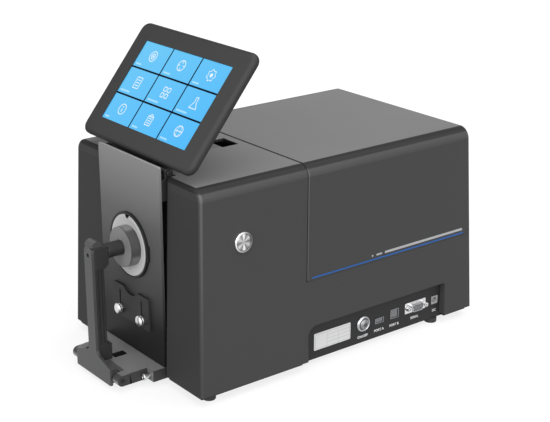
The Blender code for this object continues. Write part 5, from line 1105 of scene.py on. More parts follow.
def spun_finish(name, colour, roughness, centre, normal):
    """Bright metal turned on a lathe, with fine grooves in rings round the axis of the piece."""
    material = finish(name, colour, roughness, metallic=1.0, grain=2500, depth=0.000003, spread=0.03)
    tree = material.node_tree
    where = tree.nodes["Texture Coordinate"].outputs["Object"]
    turn = Vector((0, 0, 1)).rotation_difference(normal).to_euler()
    centred = node(tree, "Mapping", {"Vector": where, "Location": centre, "Rotation": turn},
                   vector_type="TEXTURE")
    rings = node(tree, "TexWave", {"Vector": centred.outputs["Vector"], "Scale": 700, "Distortion": 0.6},
                 wave_type="RINGS", rings_direction="Z")
    relief = tree.nodes["Bump"].outputs["Normal"]
    groove = node(tree, "Bump", {"Height": rings.outputs["Fac"], "Normal": relief, "Distance": 0.000012})
    fed(tree, tree.nodes["Principled BSDF"], {"Normal": groove.outputs["Normal"]})
    return material


def painted_glints(material, tones):
    """Painted reflection: bright and dark wedges round the axis, as the fine rings of a turned face reflect
    the light.
    """
    tree = material.node_tree
    round_axis = node(tree, "TexGradient", {"Vector": tree.nodes["Mapping.001"].outputs["Vector"]},
                      gradient_type="RADIAL")
    wedges = grey_ramp(tree, round_axis.outputs["Fac"], tones)
    fed(tree, tree.nodes["Principled BSDF"], {"Base Color": wedges})


# Painted reflections on the measure button: bright and dark wedges round the cap, and a rim painted bright on
# one side and darker on the other.
WEDGE_PAINTED_GLINTS = ((0, 250), (0.06, 120), (0.15, 205), (0.265, 104), (0.347, 215), (0.425, 108), (0.5, 248),
                (0.57, 108), (0.667, 198), (0.765, 100), (0.847, 208), (0.936, 112), (1, 250))
RIM_PAINTED_GLINTS = ((0, 235), (0.2, 255), (0.36, 200), (0.5, 140), (0.66, 112), (0.85, 108), (0.95, 170), (1, 235))
button_metal = spun_finish("button_metal", srgb(176, 177, 179), 0.32, MEASURE_MIDDLE, MEASURE_NORMAL)
painted_glints(button_metal, WEDGE_PAINTED_GLINTS)
rim_metal = spun_finish("rim_metal", srgb(205, 206, 208), 0.3, MEASURE_MIDDLE, MEASURE_NORMAL)
painted_glints(rim_metal, RIM_PAINTED_GLINTS)
bore = MEASURE_CAP + GAP
neck = MEASURE_BORE - GAP
stand = MEASURE_STAND + GAP
floor = WALL / 2 - MEASURE_DEPTH
profile = [(MEASURE_RING - 0.0006, stand), (MEASURE_RING - 0.0002, stand - 0.0002),
           (MEASURE_RING, stand - 0.0006), (MEASURE_RING, GAP), (neck, GAP), (neck, -MEASURE_DEPTH),
           (neck - WALL, -MEASURE_DEPTH), (neck - WALL, floor), (bore, floor), (bore, stand - 0.0002),
           (bore + 0.0002, stand)]
ring = turned("measure_ring", profile, MEASURE_MIDDLE, MEASURE_NORMAL, 96)
fitted(ring, rim_metal, "case", "measure_button_ring")
seat = floor + MEASURE_TRAVEL + 2 * GAP
top = MEASURE_STAND
profile = [(0, top - 0.0002), (MEASURE_CAP * 0.5, top - 0.00015), (MEASURE_CAP - 0.0007, top),
           (MEASURE_CAP - 0.0002, top - 0.0002), (MEASURE_CAP, top - 0.0007), (MEASURE_CAP, seat), (0, seat)]
cap = turned("measure_cap", profile, MEASURE_MIDDLE, MEASURE_NORMAL, 96)
fitted(cap, button_metal, "measure_key", "measure_button")


# Power button: a domed silver push button in a broad chamfered ring on the connector panel.
POWER_RING = 0.009
POWER_RING_STAND = 0.0025
POWER_BORE = 0.0062
OUTWARD = Vector((1, 0, 0))
power_metal = spun_finish("power_metal", srgb(172, 173, 175), 0.34, POWER_PLACE, OUTWARD)
power_cap_metal = spun_finish("power_cap_metal", srgb(134, 135, 137), 0.36, POWER_PLACE, OUTWARD)


def on_power_axis(x):
    return Vector((x, POWER_PLACE.y, POWER_PLACE.z))


face = PANEL_FACE + GAP
stand = POWER_RING_STAND
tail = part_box("power_button_ring")[0].x - face
profile = [(POWER_BORE + 0.0006, stand - 0.0002), (POWER_RING - 0.0018, stand),
           (POWER_RING - 0.0012, stand - 0.0003), (POWER_RING - 0.0002, stand * 0.45),
           (POWER_RING, stand * 0.3), (POWER_RING, 0), (POWER_NECK, 0), (POWER_NECK, tail),
           (POWER_BORE, tail), (POWER_BORE, stand - 0.0008)]
power_ring = turned("power_ring", profile, on_power_axis(face), OUTWARD, 96)
fitted(power_ring, power_metal, "case", "power_button_ring")
button_low, button_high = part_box("power_button")
radius = POWER_BORE - GAP
top = button_high.x - button_low.x
profile = [(0, top - 0.0002), (0.0018, top - 0.0002), (0.0021, top), (0.0027, top - 0.00005),
           (0.0030, top - 0.0003), (radius * 0.75, top - 0.0005), (radius - 0.0006, top - 0.0009),
           (radius - 0.0001, top - 0.0015), (radius, top - 0.0022), (radius, 0), (0, 0)]
power_cap = turned("power_cap", profile, on_power_axis(button_low.x), OUTWARD, 96)
fitted(power_cap, power_cap_metal, "power_key", "power_button")
dark_ink = ink("dark_ink", srgb(70, 71, 73))
SIGN_OUTER = 0.0024
SIGN_INNER = 0.0008
sign = spun([(SIGN_OUTER, INK / 2), (SIGN_INNER, INK / 2), (SIGN_INNER, -INK), (SIGN_OUTER, -INK)],
            on_power_axis(button_high.x), OUTWARD, 48)
printed("power_ring_sign", sign, dark_ink, "power_key")


# USB sockets: folded shells of bright steel, open outwards, each with a grey contact block inside.
socket_steel = finish("socket_steel", srgb(150, 151, 153), 0.35, metallic=1.0, grain=2600, depth=0.000005,
                      spread=0.06)


def resin(name, colour, roughness):
    return finish(name, colour, roughness, grain=2000, depth=0.00001, specular=0.2)


socket_resin = resin("socket_resin", srgb(112, 113, 115), 0.5)
SOCKET_WALL = 0.0006
SOCKET_DEPTH = 0.007
TONGUE_WIDTH = 0.84
for socket, height_share in (("usb_a_socket", 0.74), ("usb_b_socket", 0.84)):
    low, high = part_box(socket)
    shell = piece_from(rounded(block(low, high), 0, 0.0005, 3), f"{socket}_shell")
    inset = Vector((0, SOCKET_WALL, SOCKET_WALL))
    back = high.x - SOCKET_DEPTH
    cut(shell, block(Vector((back, low.y, low.z)) + inset, Vector((high.x + REACH, high.y, high.z)) - inset))
    fitted(shaded(shell), socket_steel, "case", socket)
    middle = (low + high) / 2
    half_y, half_z = (high.y - low.y) * TONGUE_WIDTH / 2, (high.z - low.z) * height_share / 2
    tongue = block((back + GAP / 10, middle.y - half_y, middle.z - half_z),
                   (high.x - 2 * SOCKET_WALL, middle.y + half_y, middle.z + half_z))
    fitted(edged(piece_from(tongue, f"{socket}_tongue"), 0.0002), socket_resin, "case")


# Serial socket: a bright pressed flange and D-shaped tube, a grey insert with nine contact holes, and two
# hexagonal standoffs for the plug's screws.
FLANGE_WIDTH = 0.031
FLANGE_HEIGHT = 0.0125
FLANGE_THICKNESS = 0.0008
SERIAL_TAPER = 0.0012
SERIAL_STAND = 0.0055
INSERT_SET_BACK = 0.0005
CONTACT_PITCH = 0.00277
CONTACT_ROW_PITCH = 0.00284
CONTACT_BORE = 0.0006
STANDOFF_BORE = 0.0012
STANDOFF_BORE_DEPTH = 0.0035
y, z = (SERIAL_PLACE - ORIGIN).yz
half_w, half_h = SERIAL_WIDTH / 2, SERIAL_HEIGHT / 2


def serial_outline(width_share, height_share, radius):
    """The D shape with rounded corners, drawn in to a share of its width and height."""
    w, h, t = half_w * width_share, half_h * height_share, SERIAL_TAPER
    corners = [(-w + t, -h, 180, 265), (w - t, -h, 275, 360), (w, h, 5, 90), (-w, h, 90, 175)]
    points = []
    for u, v, first, last in corners:
        middle = (u - math.copysign(radius, u), v - math.copysign(radius, v))
        points += bow(middle, radius, first, last, 6)
    return [(y + u, z + v) for u, v in points]


flange = case_block((face, y - FLANGE_WIDTH / 2, z - FLANGE_HEIGHT / 2),
                    (face + FLANGE_THICKNESS, y + FLANGE_WIDTH / 2, z + FLANGE_HEIGHT / 2))
serial = piece_from(rounded(flange, 0, 0.0012, 4), "serial_flange")
join(serial, prism(serial_outline(1, 1, 0.0016), face + GAP, face + SERIAL_STAND, "x"),
     case_block((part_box("serial_shell")[0].x, y - half_w, z - half_h),
                (face + FLANGE_THICKNESS / 2, y + half_w, z + half_h)))
cut(serial, prism(serial_outline(0.93, 0.87, 0.0013), face, face + SERIAL_STAND + REACH, "x"))
fitted(edged(serial, 0.0002), bright_steel, "case", "serial_shell")
core = serial_outline(0.86, 0.74, 0.0010)
insert = piece_from(prism(core, face + GAP, face + SERIAL_STAND - INSERT_SET_BACK, "x"), "serial_core")
for row, count in ((1, 5), (-1, 4)):
    for index in range(count):
        at = on_case(face + SERIAL_STAND / 2, y + (index - (count - 1) / 2) * CONTACT_PITCH,
                     z + row * CONTACT_ROW_PITCH / 2)
        cut(insert, rod(CONTACT_BORE, at, at + OUTWARD * SERIAL_STAND, 16))
fitted(shaded(insert), socket_resin, "case", "serial_insert")
for standoff in ("serial_standoff_front", "serial_standoff_rear"):
    low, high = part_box(standoff)
    middle = (low + high) / 2
    end = Vector((high.x, middle.y, middle.z))
    foot = Vector((low.x, middle.y, middle.z))
    hexagon = piece_from(rod((high.z - low.z) / 2, foot, end, 6), f"{standoff}_nut")
    cut(hexagon, rod(STANDOFF_BORE, end - OUTWARD * STANDOFF_BORE_DEPTH, end + OUTWARD * REACH, 32))
    fitted(edged(hexagon, 0.00025), bright_steel, "case", standoff)


# Power jack: a grey resin block with a round bore and a bright pin in its middle.
JACK_BORE = 0.0032
jack_low, jack_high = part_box("dc_jack")
jack_resin = resin("jack_resin", srgb(150, 150, 151), 0.45)
middle = (jack_low + jack_high) / 2
mouth = Vector((jack_high.x, middle.y, middle.z))
jack = piece_from(rounded(block(jack_low, jack_high), 0, 0.0006, 3), "dc_jack_block")
cut(jack, rod(JACK_BORE, mouth - OUTWARD * SOCKET_DEPTH, mouth + OUTWARD * REACH))
fitted(edged(jack, 0.0002), jack_resin, "case", "dc_jack")
profile = [(0, SOCKET_DEPTH - 0.0012), (0.0007, SOCKET_DEPTH - 0.0013), (0.0011, SOCKET_DEPTH - 0.0020),
           (0.0011, 0), (0, 0)]
jack_pin = turned("dc_jack_pin", profile, mouth - OUTWARD * (SOCKET_DEPTH - GAP / 10), OUTWARD, 32)
fitted(jack_pin, steel, "case")


# Rating plate place: a thin pale plastic label with rounded corners, a printed border and ruled lines, and
# nothing written on it.
label_low, label_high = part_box("connector_label")
label_plastic = finish("label_plastic", srgb(206, 206, 206), 0.45, grain=1500, depth=0.00001, cloud=20,
                       spread=0.02, specular=0.2)
label_ink = ink("label_ink", srgb(150, 151, 153))
label = edged(piece_from(rounded(block(label_low, label_high), 0, 0.0012, 5), "panel_label"), 0.0001)
fitted(label, label_plastic, "case", "connector_label")
LINE = 0.00025
BORDER = 0.0016


def label_point(rise, u, v, line):
    """A point over the label at shares of its length and height inside the border, moved by half a line."""
    size_y, size_z = label_high.y - label_low.y - 2 * BORDER, label_high.z - label_low.z - 2 * BORDER
    return (label_high.x + rise, label_low.y + BORDER + size_y * u + line / 2,
            label_low.z + BORDER + size_z * v + line / 2)


rules = [(0, 1, 0, 0), (0, 1, 1, 1), (0, 0, 0, 1), (1, 1, 0, 1), (0.34, 0.34, 0, 1), (0.34, 1, 0.78, 0.78),
         (0.34, 1, 0.52, 0.52), (0.34, 1, 0.26, 0.26), (0.67, 0.67, 0, 0.78)]
for number, (u_low, u_high, v_low, v_high) in enumerate(rules):
    rule = block(label_point(INK / 10, u_low, v_low, -LINE), label_point(INK / 2, u_high, v_high, LINE))
    printed(f"label_rule_{number}", rule, label_ink, "case")


# Captions under the panel's fittings: plain generic words in white ink, in Blender's own font.
white_ink = ink("white_ink", srgb(214, 214, 214))
CAPTIONS = (("ON/OFF", POWER_PLACE.y - ORIGIN.y, 0.0028), ("PORT A", 0.2395, 0.0040),
            ("PORT B", 0.2616, 0.0040), ("SERIAL", SERIAL_PLACE.y - ORIGIN.y, 0.0048), ("DC", 0.322, 0.0050))
CAPTION_HEIGHT = 0.0040
STROKE_SWELL = 0.00009
upright = Matrix.Rotation(math.pi / 2, 4, "Z") @ Matrix.Rotation(math.pi / 2, 4, "X")
for number, (words, y, z) in enumerate(CAPTIONS):
    curve = bpy.data.curves.new(f"caption_{number}", "FONT")
    curve.body = words
    curve.size = CAPTION_HEIGHT
    curve.align_x = "CENTER"
    curve.extrude = INK / 4
    curve.offset = STROKE_SWELL
    writing = bpy.data.objects.new(f"caption_{number}_outline", curve)
    bpy.context.scene.collection.objects.link(writing)
    bpy.context.view_layer.update()
    mesh = bpy.data.meshes.new_from_object(writing)
    bpy.data.objects.remove(writing)
    place = on_case(PANEL_FACE + INK / 4 + INK / 10, y, z - CAPTION_HEIGHT / 3)
    mesh.transform(Matrix.Translation(place) @ upright)
    mesh.materials.clear()
    caption = bpy.data.objects.new(f"caption_{number}", mesh)
    bpy.context.scene.collection.objects.link(caption)
    fitted(caption, white_ink, "case")


# Display hinge: a black base in the channel behind the plate with two round ears, a steel pin with flat
# heads, and the leaf with its barrel that is screwed to the back of the display.
base_low, base_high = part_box("hinge_base")
EAR_WIDTH = 0.008
EAR_RADIUS = 0.0048
HINGE_PIN_RADIUS = 0.0018
HINGE_HEAD_RADIUS = 0.0028
HINGE_HEAD_LENGTH = 0.0015
HINGE_TOP = 0.2065
HINGE_AXIS = (0.012, 0.213)
BARREL = 0.0042
LEAF_THICKNESS = 0.0022
LEAF_HEIGHT = 0.0332
TILT = math.radians(51.2)
LEAF_BORE_HALF = 0.06
hinge_black = finish("hinge_black", srgb(34, 34, 35), 0.45, metallic=0.2, grain=1800, depth=0.00002,
                     spread=0.06)
half = base_high.x
hinge_base = piece_from(block(base_low, (half, base_high.y, on_case(0, 0, HINGE_TOP).z)), "hinge_bracket")
ear = [(HINGE_AXIS[0] - EAR_RADIUS, HINGE_TOP - REACH), (HINGE_AXIS[0] + EAR_RADIUS, HINGE_TOP - REACH)]
ear += bow(HINGE_AXIS, EAR_RADIUS, 0, 180, 20)
for across in (-1, 1):
    join(hinge_base, prism(ear, *side_pair(across, half - EAR_WIDTH, half), "x"))
cut(hinge_base, pin_bore(HINGE_PIN_RADIUS, half, HINGE_AXIS))
fitted(edged(hinge_base, 0.0004), hinge_black, "case", "hinge_base")
seat = half + GAP
end = seat + HINGE_HEAD_LENGTH
profile = [(0, end), (HINGE_HEAD_RADIUS - PIN_CHAMFER, end), (HINGE_HEAD_RADIUS, end - PIN_CHAMFER),
           (HINGE_HEAD_RADIUS, seat), (HINGE_PIN_RADIUS, seat)]
profile += [(radius, -height) for radius, height in reversed(profile)]
hinge_pin = turned("hinge_pin_turning", profile, on_case(0, *HINGE_AXIS), OUTWARD)
fitted(hinge_pin, hinge_black, "case", "hinge_pin")
leaning = Matrix.Translation(on_case(0, *HINGE_AXIS)) @ Matrix.Rotation(TILT, 4, "X")


def on_display(bm):
    """Move a bmesh from the display's own frame, y up the screen and z out of it, to its place."""
    bmesh.ops.transform(bm, matrix=leaning, verts=bm.verts)
    return bm


inner = half - EAR_WIDTH - GAP
leaf = piece_from(on_display(rod(BARREL, -inner * OUTWARD, inner * OUTWARD)), "hinge_leaf")
join(leaf, on_display(block((-inner, 0, 0), (inner, LEAF_HEIGHT, LEAF_THICKNESS))))
cut(leaf, on_display(rod(HINGE_PIN_RADIUS + GAP, -LEAF_BORE_HALF * OUTWARD, LEAF_BORE_HALF * OUTWARD, 32)))
fitted(edged(leaf, 0.0003), hinge_black, "display", "display_leaf")


# Display case: a satin charcoal bezel with a soft rim and a rear shell, split in the middle of its
# thickness, with rounded corners.
DISPLAY_WIDTH = 0.198
DISPLAY_HEIGHT = 0.1336
DISPLAY_FOOT = 0.0032
DISPLAY_REAR = LEAF_THICKNESS + GAP
DISPLAY_THICKNESS = 0.0104
DISPLAY_CORNER = 0.0105
RIM = 0.0046
SCREEN_WIDTH = 0.1526
SCREEN_HEIGHT = 0.0925
GLASS_MARGIN = 0.0025
GLASS_THICKNESS = 0.0016
LIP = 0.0008
MODULE_MARGIN = 0.002
SHELL_WALL = 0.0018
split = DISPLAY_REAR + DISPLAY_THICKNESS / 2
display_front = DISPLAY_REAR + DISPLAY_THICKNESS
screen_middle = DISPLAY_FOOT + DISPLAY_HEIGHT / 2
DISPLAY_PAINTED_SHADE_TONES = ((0, 60), (0.15, 56), (0.28, 55), (0.40, 55), (0.55, 36), (1, 30))
satin_charcoal = finish("satin_charcoal", WHITE, 0.6, grain=1500, depth=0.00003, cloud=7, spread=0.05,
                        specular=0.1)
# Painted shade on the display case: faces seen at a low angle, its rim and sides, are painted darker than the
# face of its bezel.
painted_shading(satin_charcoal, turned_away(satin_charcoal), DISPLAY_PAINTED_SHADE_TONES)


def shell_half(low_z, high_z, outward):
    """Half of the display's case: round corners, and a round rim on its outer face."""
    half = DISPLAY_WIDTH / 2
    bm = block((-half, DISPLAY_FOOT, low_z), (half, DISPLAY_FOOT + DISPLAY_HEIGHT, high_z))
    rounded(bm, 2, DISPLAY_CORNER, 12)
    level = high_z if outward else low_z
    soften(bm, [e for e in bm.edges if max(abs(v.co.z - level) for v in e.verts) < 0.00001], RIM, ROUND_STEPS)
    return on_display(bm)


def screen_box(half_x, half_y, low_z, high_z):
    return on_display(block((-half_x, screen_middle - half_y, low_z),
                            (half_x, screen_middle + half_y, high_z)))


glass = (SCREEN_WIDTH / 2 + GLASS_MARGIN, SCREEN_HEIGHT / 2 + GLASS_MARGIN)
module = (glass[0] + MODULE_MARGIN, glass[1] + MODULE_MARGIN)
rear_shell = piece_from(shell_half(DISPLAY_REAR, split - GAP / 2, False), "display_rear_shell")
cut(rear_shell, screen_box(*module, DISPLAY_REAR + SHELL_WALL, split + REACH))
front_shell = piece_from(shell_half(split + GAP / 2, display_front, True), "display_front_shell")
cut(front_shell, screen_box(SCREEN_WIDTH / 2, SCREEN_HEIGHT / 2, split - REACH, display_front + REACH),
    screen_box(*module, split - REACH, display_front - LIP))
for piece, name in ((rear_shell, "display_back"), (front_shell, "display_bezel")):
    fitted(shaded(piece, SOFT_ANGLE, FLAT_AREA), satin_charcoal, "display", name)


# Touch screen: a dark navy glass behind the bezel that lights up nine pale blue tiles in three rows, with
# a small white picture on each and a plain bar in place of a caption. The pictures are general signs.
glass_top = display_front - LIP - GAP
screen_glass = finish("screen_glass", srgb(5, 11, 26), 0.22, grain=1200, depth=0.000001, specular=0.02)
screen = edged(piece_from(screen_box(*glass, glass_top - GLASS_THICKNESS, glass_top), "touch_glass"), 0.0002)
fitted(screen, screen_glass, "display", "touch_screen")
LIT_LEVEL = 0.97
UNLIT = (0.01, 0.012, 0.016, 1)


def lit(name, low_colour, high_colour):
    """A lit part of the screen, whose light shades from one corner of the glass to the other."""
    material = bpy.data.materials.new(name)
    material.use_nodes = True
    tree = material.node_tree
    rise = DISPLAY_HEIGHT * math.sin(TILT)
    foot = 0.5 * on_case(0, 0, HINGE_AXIS[1]).z / rise
    where = node(tree, "TexCoord", {}).outputs["Object"]
    across = node(tree, "VectorMath", {0: where, 1: (-0.5 / DISPLAY_WIDTH, 0, 0.5 / rise)},
                  operation="DOT_PRODUCT")
    slide = node(tree, "MapRange", {"Value": across.outputs["Value"], "From Min": foot - 0.25,
                                    "From Max": foot + 0.75})
    shade = node(tree, "Mix", {"Factor": slide.outputs["Result"], "A": low_colour, "B": high_colour},
                 data_type="RGBA")
    fed(tree, tree.nodes["Principled BSDF"],
        {"Base Color": UNLIT, "Roughness": 0.3, "Specular IOR Level": 0.2, "Emission Strength": LIT_LEVEL,
         "Emission Color": shade.outputs["Result"]})
    return material


tile_light = lit("tile_light", srgb(52, 180, 250), srgb(98, 198, 244))
icon_light = lit("icon_light", srgb(228, 244, 255), srgb(232, 246, 255))
caption_light = lit("caption_light", srgb(158, 218, 250), srgb(166, 222, 250))
TILE_GAP_ACROSS = 0.0019
TILE_GAP_UP = 0.0020
TILE_FILM = 0.00004
LINE_W = 0.0009
ICON = 0.0062
COLUMNS, ROWS = 3, 3
tile_width = (SCREEN_WIDTH - (COLUMNS - 1) * TILE_GAP_ACROSS) / COLUMNS
tile_height = (SCREEN_HEIGHT - (ROWS - 1) * TILE_GAP_UP) / ROWS
half_tile = Vector((tile_width, tile_height)) / 2


def tile_middle(column, row):
    """Middle of a tile in the display's frame; rows count from the top."""
    x = -SCREEN_WIDTH / 2 + tile_width / 2 + column * (tile_width + TILE_GAP_ACROSS)
    y = screen_middle + SCREEN_HEIGHT / 2 - tile_height / 2 - row * (tile_height + TILE_GAP_UP)
    return Vector((x, y))


def film_faces(level=2):
    """The lower and upper face of a film on the glass; pictures lie one level over the tiles."""
    return glass_top + TILE_FILM * (level - 0.8), glass_top + TILE_FILM * level


def film(low, high, level):
    """A thin lit rectangle on the glass."""
    under, upper = film_faces(level)
    return block((low[0], low[1], under), (high[0], high[1], upper))


def film_ring(centre, radius, sides=48, teeth=0, stretch=1.0):
    """A thin lit ring on the glass; teeth push it in and out, as a gear has them."""
    low, high = film_faces()
    inner = radius - LINE_W
    profile = [(radius, low), (inner, low), (inner, high), (radius, high)]
    bm = spun(profile, Vector((0, 0, 0)), (0, 0, 1), sides)
    for vert in bm.verts:
        push = 1 + teeth * (1 if math.cos(7 * math.atan2(vert.co.y, vert.co.x)) > 0 else -1)
        vert.co.x = vert.co.x * push * stretch + centre[0]
        vert.co.y = vert.co.y * push + centre[1]
    return bm


def film_disc(centre, radius):
    low, high = film_faces()
    return spun([(0, high), (radius, high), (radius, low), (0, low)], Vector((*centre, 0)), (0, 0, 1), 32)


def film_line(start, end, width=LINE_W):
    """A thin lit stroke between two points of the glass."""
    along = end - start
    low, high = film_faces()
    bm = block((0, -width / 2, low), (along.length, width / 2, high))
    turn = Matrix.Rotation(math.atan2(along.y, along.x), 4, "Z")
    bmesh.ops.transform(bm, matrix=Matrix.Translation((*start, 0)) @ turn, verts=bm.verts)
    return bm


def merged(bms):
    """Several bmeshes as one, for a picture made of strokes."""
    whole = bmesh.new()
    for bm in bms:
        part = bpy.data.meshes.new("stroke")
        bm.to_mesh(part)
        bm.free()
        whole.from_mesh(part)
        bpy.data.meshes.remove(part)
    return whole


tiles = merged([film(tile_middle(column, row) - half_tile, tile_middle(column, row) + half_tile, 1)
                for row in range(ROWS) for column in range(COLUMNS)])


def strokes(c, points, closed=True):
    """Lines from point to point round a middle, given in shares of the picture's size."""
    places = [c + Vector(point) * ICON for point in points]
    ends = places[1:] + places[:1] if closed else places[1:]
    return [film_line(a, b) for a, b in zip(places, ends)]


def frame_strokes(c, x, y):
    return strokes(c, ((-x, -y), (x, -y), (x, y), (-x, y)))


def ruled_strokes(c, half, heights):
    return [line for height in heights
            for line in strokes(c, ((-half, height), (half, height)), closed=False)]


def target_sign(c):
    return [film_ring(c, ICON), film_ring(c, ICON * 0.55), film_disc(c, ICON * 0.22)]


def dial_sign(c):
    ticks = [Vector((0, 1)), Vector((1, 0)), Vector((0, -1)), Vector((-1, 0))]
    return [film_ring(c, ICON)] + [film_line(c + tick * ICON * 0.4, c + tick * ICON) for tick in ticks]


def gear_sign(c):
    return [film_ring(c, ICON, 84, teeth=0.09), film_disc(c, ICON * 0.36)]


def list_sign(c):
    return frame_strokes(c, 0.75, 1) + ruled_strokes(c, 0.45, (-0.5, 0, 0.5))


def four_squares_sign(c):
    places = [c + Vector((x, y)) * ICON * 0.55 for x in (-1, 1) for y in (-1, 1)]
    return [line for place in places for line in frame_strokes(place, 0.36, 0.36)]


def flask_sign(c):
    return strokes(c, ((-0.28, 1), (-0.28, 0.1), (-0.95, -0.95), (0.95, -0.95), (0.28, 0.1), (0.28, 1)))


def note_sign(c):
    stem = film_line(c - Vector((0, ICON * 0.5)), c + Vector((0, ICON * 0.12)), LINE_W * 1.3)
    return [film_ring(c, ICON), stem, film_disc(c + Vector((0, ICON * 0.45)), LINE_W * 0.9)]


def stack_sign(c):
    roof = strokes(c, ((-0.7, 0.55), (0, 1), (0.7, 0.55)), closed=False)
    walls = frame_strokes(c - Vector((0, ICON * 0.22)), 0.7, 0.78)
    return roof + walls + ruled_strokes(c, 0.4, (-0.6, -0.2, 0.2))


def globe_sign(c):
    reach = Vector((ICON - LINE_W, 0))
    return [film_ring(c, ICON), film_ring(c, ICON, stretch=0.45), film_line(c - reach, c + reach)]


signs = (target_sign, dial_sign, gear_sign, list_sign, four_squares_sign, flask_sign, note_sign, stack_sign,
         globe_sign)
CAPTION_SHARES = (0.20, 0.24, 0.22, 0.34, 0.38, 0.36, 0.16, 0.20, 0.24)
BAR_HEIGHT = 0.0019
icons = []
captions = []
for index, (sign, share) in enumerate(zip(signs, CAPTION_SHARES)):
    middle = tile_middle(index % COLUMNS, index // COLUMNS)
    icons += sign(middle + Vector((0, tile_height * 0.02)))
    corner = middle - half_tile + Vector((tile_width * 0.06, tile_height * 0.08))
    captions.append(film(corner, corner + Vector((tile_width * share, BAR_HEIGHT)), 2))
for name, bm, material in (("screen_tiles", tiles, tile_light), ("screen_icons", merged(icons), icon_light),
                           ("screen_captions", merged(captions), caption_light)):
    fitted(piece_from(on_display(bm), name), material, "display")


# Ribbon: the flat black cable of the display, which lies in a groove in the top and turns down through the
# cable passage.
ribbon_low, ribbon_high = case_box("display_ribbon")
RIBBON_THICKNESS = 0.0008
ribbon_black = finish("ribbon_black", srgb(30, 30, 31), 0.5, grain=1500, depth=0.00001)
under = ribbon_high.z - RIBBON_THICKNESS
bend = ribbon_high.y - RIBBON_THICKNESS
outline = [(ribbon_low.y, under), (bend, under), (bend, ribbon_low.z), (ribbon_high.y, ribbon_low.z)]
outline += bow((bend, under), RIBBON_THICKNESS, 0, 90, 6) + [(ribbon_low.y, ribbon_high.z)]
ribbon = piece_from(prism(outline, ribbon_low.x, ribbon_high.x, "x"), "display_flat_cable")
fitted(shaded(ribbon), ribbon_black, "case", "display_ribbon")


# Receiver of the transmission compartment: the barrel with its lens recess is turned and black anodised,
# and its housing keeps the CAD block with a charcoal finish.
barrel_low, barrel_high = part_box("receiver_barrel")
BARREL_RADIUS = barrel_high.x
length = barrel_high.y - barrel_low.y
LENS_RECESS = 0.004
bore = BARREL_RADIUS - WALL
profile = [(0, length - LENS_RECESS), (bore, length - LENS_RECESS), (bore, length - 0.0004),
           (bore + 0.0004, length), (BARREL_RADIUS - 0.0005, length), (BARREL_RADIUS, length - 0.0005),
           (BARREL_RADIUS, 0), (0, 0)]
start = Vector((0, barrel_high.y, on_case(0, 0, PORT_HEIGHT).z))
barrel = turned("receiver_lens_barrel", profile, start, (0, -1, 0), 96)
fitted(barrel, black_anodised, "case", "receiver_barrel")


# Pieces that keep their CAD shape: the parts inside the case and under the hood. Each gets the finish of
# the real one: black painted sheet, reflecting white, green board, glass.
compartment_black = finish("compartment_black", srgb(33, 33, 34), 0.6, grain=1700, depth=0.00004, spread=0.08)
sphere_white = finish("sphere_white", srgb(228, 228, 226), 0.85, grain=1200, depth=0.00003, cloud=20,
                      spread=0.02)
board_green = finish("board_green", srgb(22, 74, 40), 0.4, grain=800, depth=0.00002, cloud=60, spread=0.25)
clear_glass = bpy.data.materials.new("clear_glass")
clear_glass.use_nodes = True
tree = clear_glass.node_tree
where = node(tree, "TexCoord", {})
smudge = node(tree, "TexNoise", {"Vector": where.outputs["Object"], "Scale": 120})
haze = node(tree, "MapRange", {"Value": smudge.outputs["Fac"], "To Min": 0.02, "To Max": 0.08})
fed(tree, tree.nodes["Principled BSDF"], {"Roughness": haze.outputs["Result"], "Transmission Weight": 1.0})
KEPT = {
    compartment_black: ("compartment_floor", "sample_holder", "lamp_housing", "spectrometer",
                        "display_module", "viewing_barrel"),
    charcoal_plastic: ("receiver_housing",),
    painted_steel: ("sphere_cradle",),
    sphere_white: ("sphere_front_half", "sphere_rear_half"),
    board_green: ("main_board", "connector_board"),
    clear_glass: ("lamp_tube", "viewing_lens"),
}
for material, names in KEPT.items():
    for name in names:
        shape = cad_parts[name].data
        shape.materials.clear()
        shape.materials.append(material)


# Floor, light and camera: a plain white floor that keeps the shadow, broad soft light from above, the right
# and the front, and the camera where the photograph was taken from.
floor_mesh = bmesh.new()
bmesh.ops.create_grid(floor_mesh, x_segments=1, y_segments=1, size=12)
stage_floor = piece_from(floor_mesh, "stage_floor")
floor_white = bpy.data.materials.new("floor_white")
floor_white.use_nodes = True
FLOOR_GLOW = 0.78
FLOOR_SHADE = 0.2


def straight_view(tree):
    """One where a ray comes from the camera, a mirror image or glass, and nought for plain lighting."""
    path = node(tree, "LightPath", {}).outputs
    seen = path["Is Camera Ray"]
    for kind in ("Is Glossy Ray", "Is Transmission Ray"):
        seen = node(tree, "Math", {0: seen, 1: path[kind]}, operation="MAXIMUM").outputs[0]
    return seen


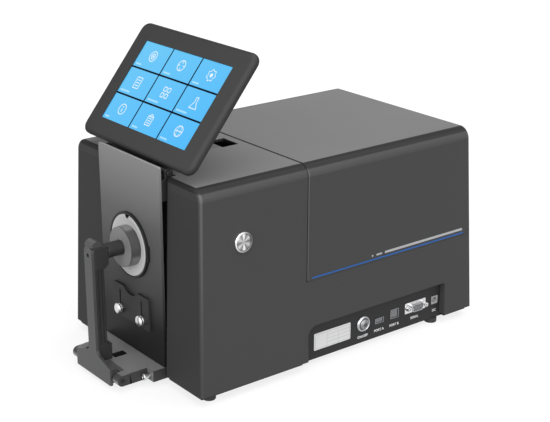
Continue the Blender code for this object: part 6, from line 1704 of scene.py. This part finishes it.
tree = floor_white.node_tree
tree.nodes.remove(tree.nodes["Principled BSDF"])
shade = node(tree, "BsdfDiffuse", {"Color": (FLOOR_SHADE, FLOOR_SHADE, FLOOR_SHADE, 1)}).outputs[0]
glow = node(tree, "Emission", {"Strength": FLOOR_GLOW}).outputs[0]
shown = node(tree, "AddShader", {0: shade, 1: glow}).outputs[0]
chosen = node(tree, "MixShader", {0: straight_view(tree), 1: shade, 2: shown}).outputs[0]
fed(tree, tree.nodes["Material Output"], {"Surface": chosen})
stage_floor.data.materials.append(floor_white)


def soft_light(name, towards, level, spread):
    """Even light from one side of the studio, as a wide bank of lamps gives."""
    light = bpy.data.lights.new(name, "SUN")
    light.energy = level * math.pi
    light.angle = math.radians(spread)
    holder = bpy.data.objects.new(name, light)
    holder.rotation_euler = Vector(towards).to_track_quat("-Z", "Y").to_euler()
    bpy.context.scene.collection.objects.link(holder)


soft_light("ceiling_light", (-0.10, -0.20, -1.0), 0.8, 70)
soft_light("right_light", (-1.0, 0.25, -0.35), 0.72, 60)
soft_light("front_light", (-0.3, 1.0, -0.2), 0.8, 60)
world = bpy.data.worlds.new("studio")
bpy.context.scene.world = world
world.use_nodes = True
WORLD_LEVEL = 0.25
tree = world.node_tree
tree.nodes.clear()
seen = node(tree, "Background", {"Color": WHITE, "Strength": 1.0}).outputs[0]
lighting = node(tree, "Background", {"Color": WHITE, "Strength": WORLD_LEVEL}).outputs[0]
chosen = node(tree, "MixShader", {0: straight_view(tree), 1: lighting, 2: seen}).outputs[0]
node(tree, "OutputWorld", {"Surface": chosen})

CAMERA_PLACE = Vector((1.0733, -0.8080, 0.6133))
CAMERA_FORWARD = Vector((-0.7445, 0.5776, -0.3348))
camera_data = bpy.data.cameras.new("camera")
camera_data.lens = 86.26
camera_data.sensor_width = 36
camera = bpy.data.objects.new("camera", camera_data)
camera.location = CAMERA_PLACE
camera.rotation_euler = CAMERA_FORWARD.to_track_quat("-Z", "Y").to_euler()
bpy.context.scene.collection.objects.link(camera)
bpy.context.scene.camera = camera
bpy.context.scene.view_settings.view_transform = "Standard"
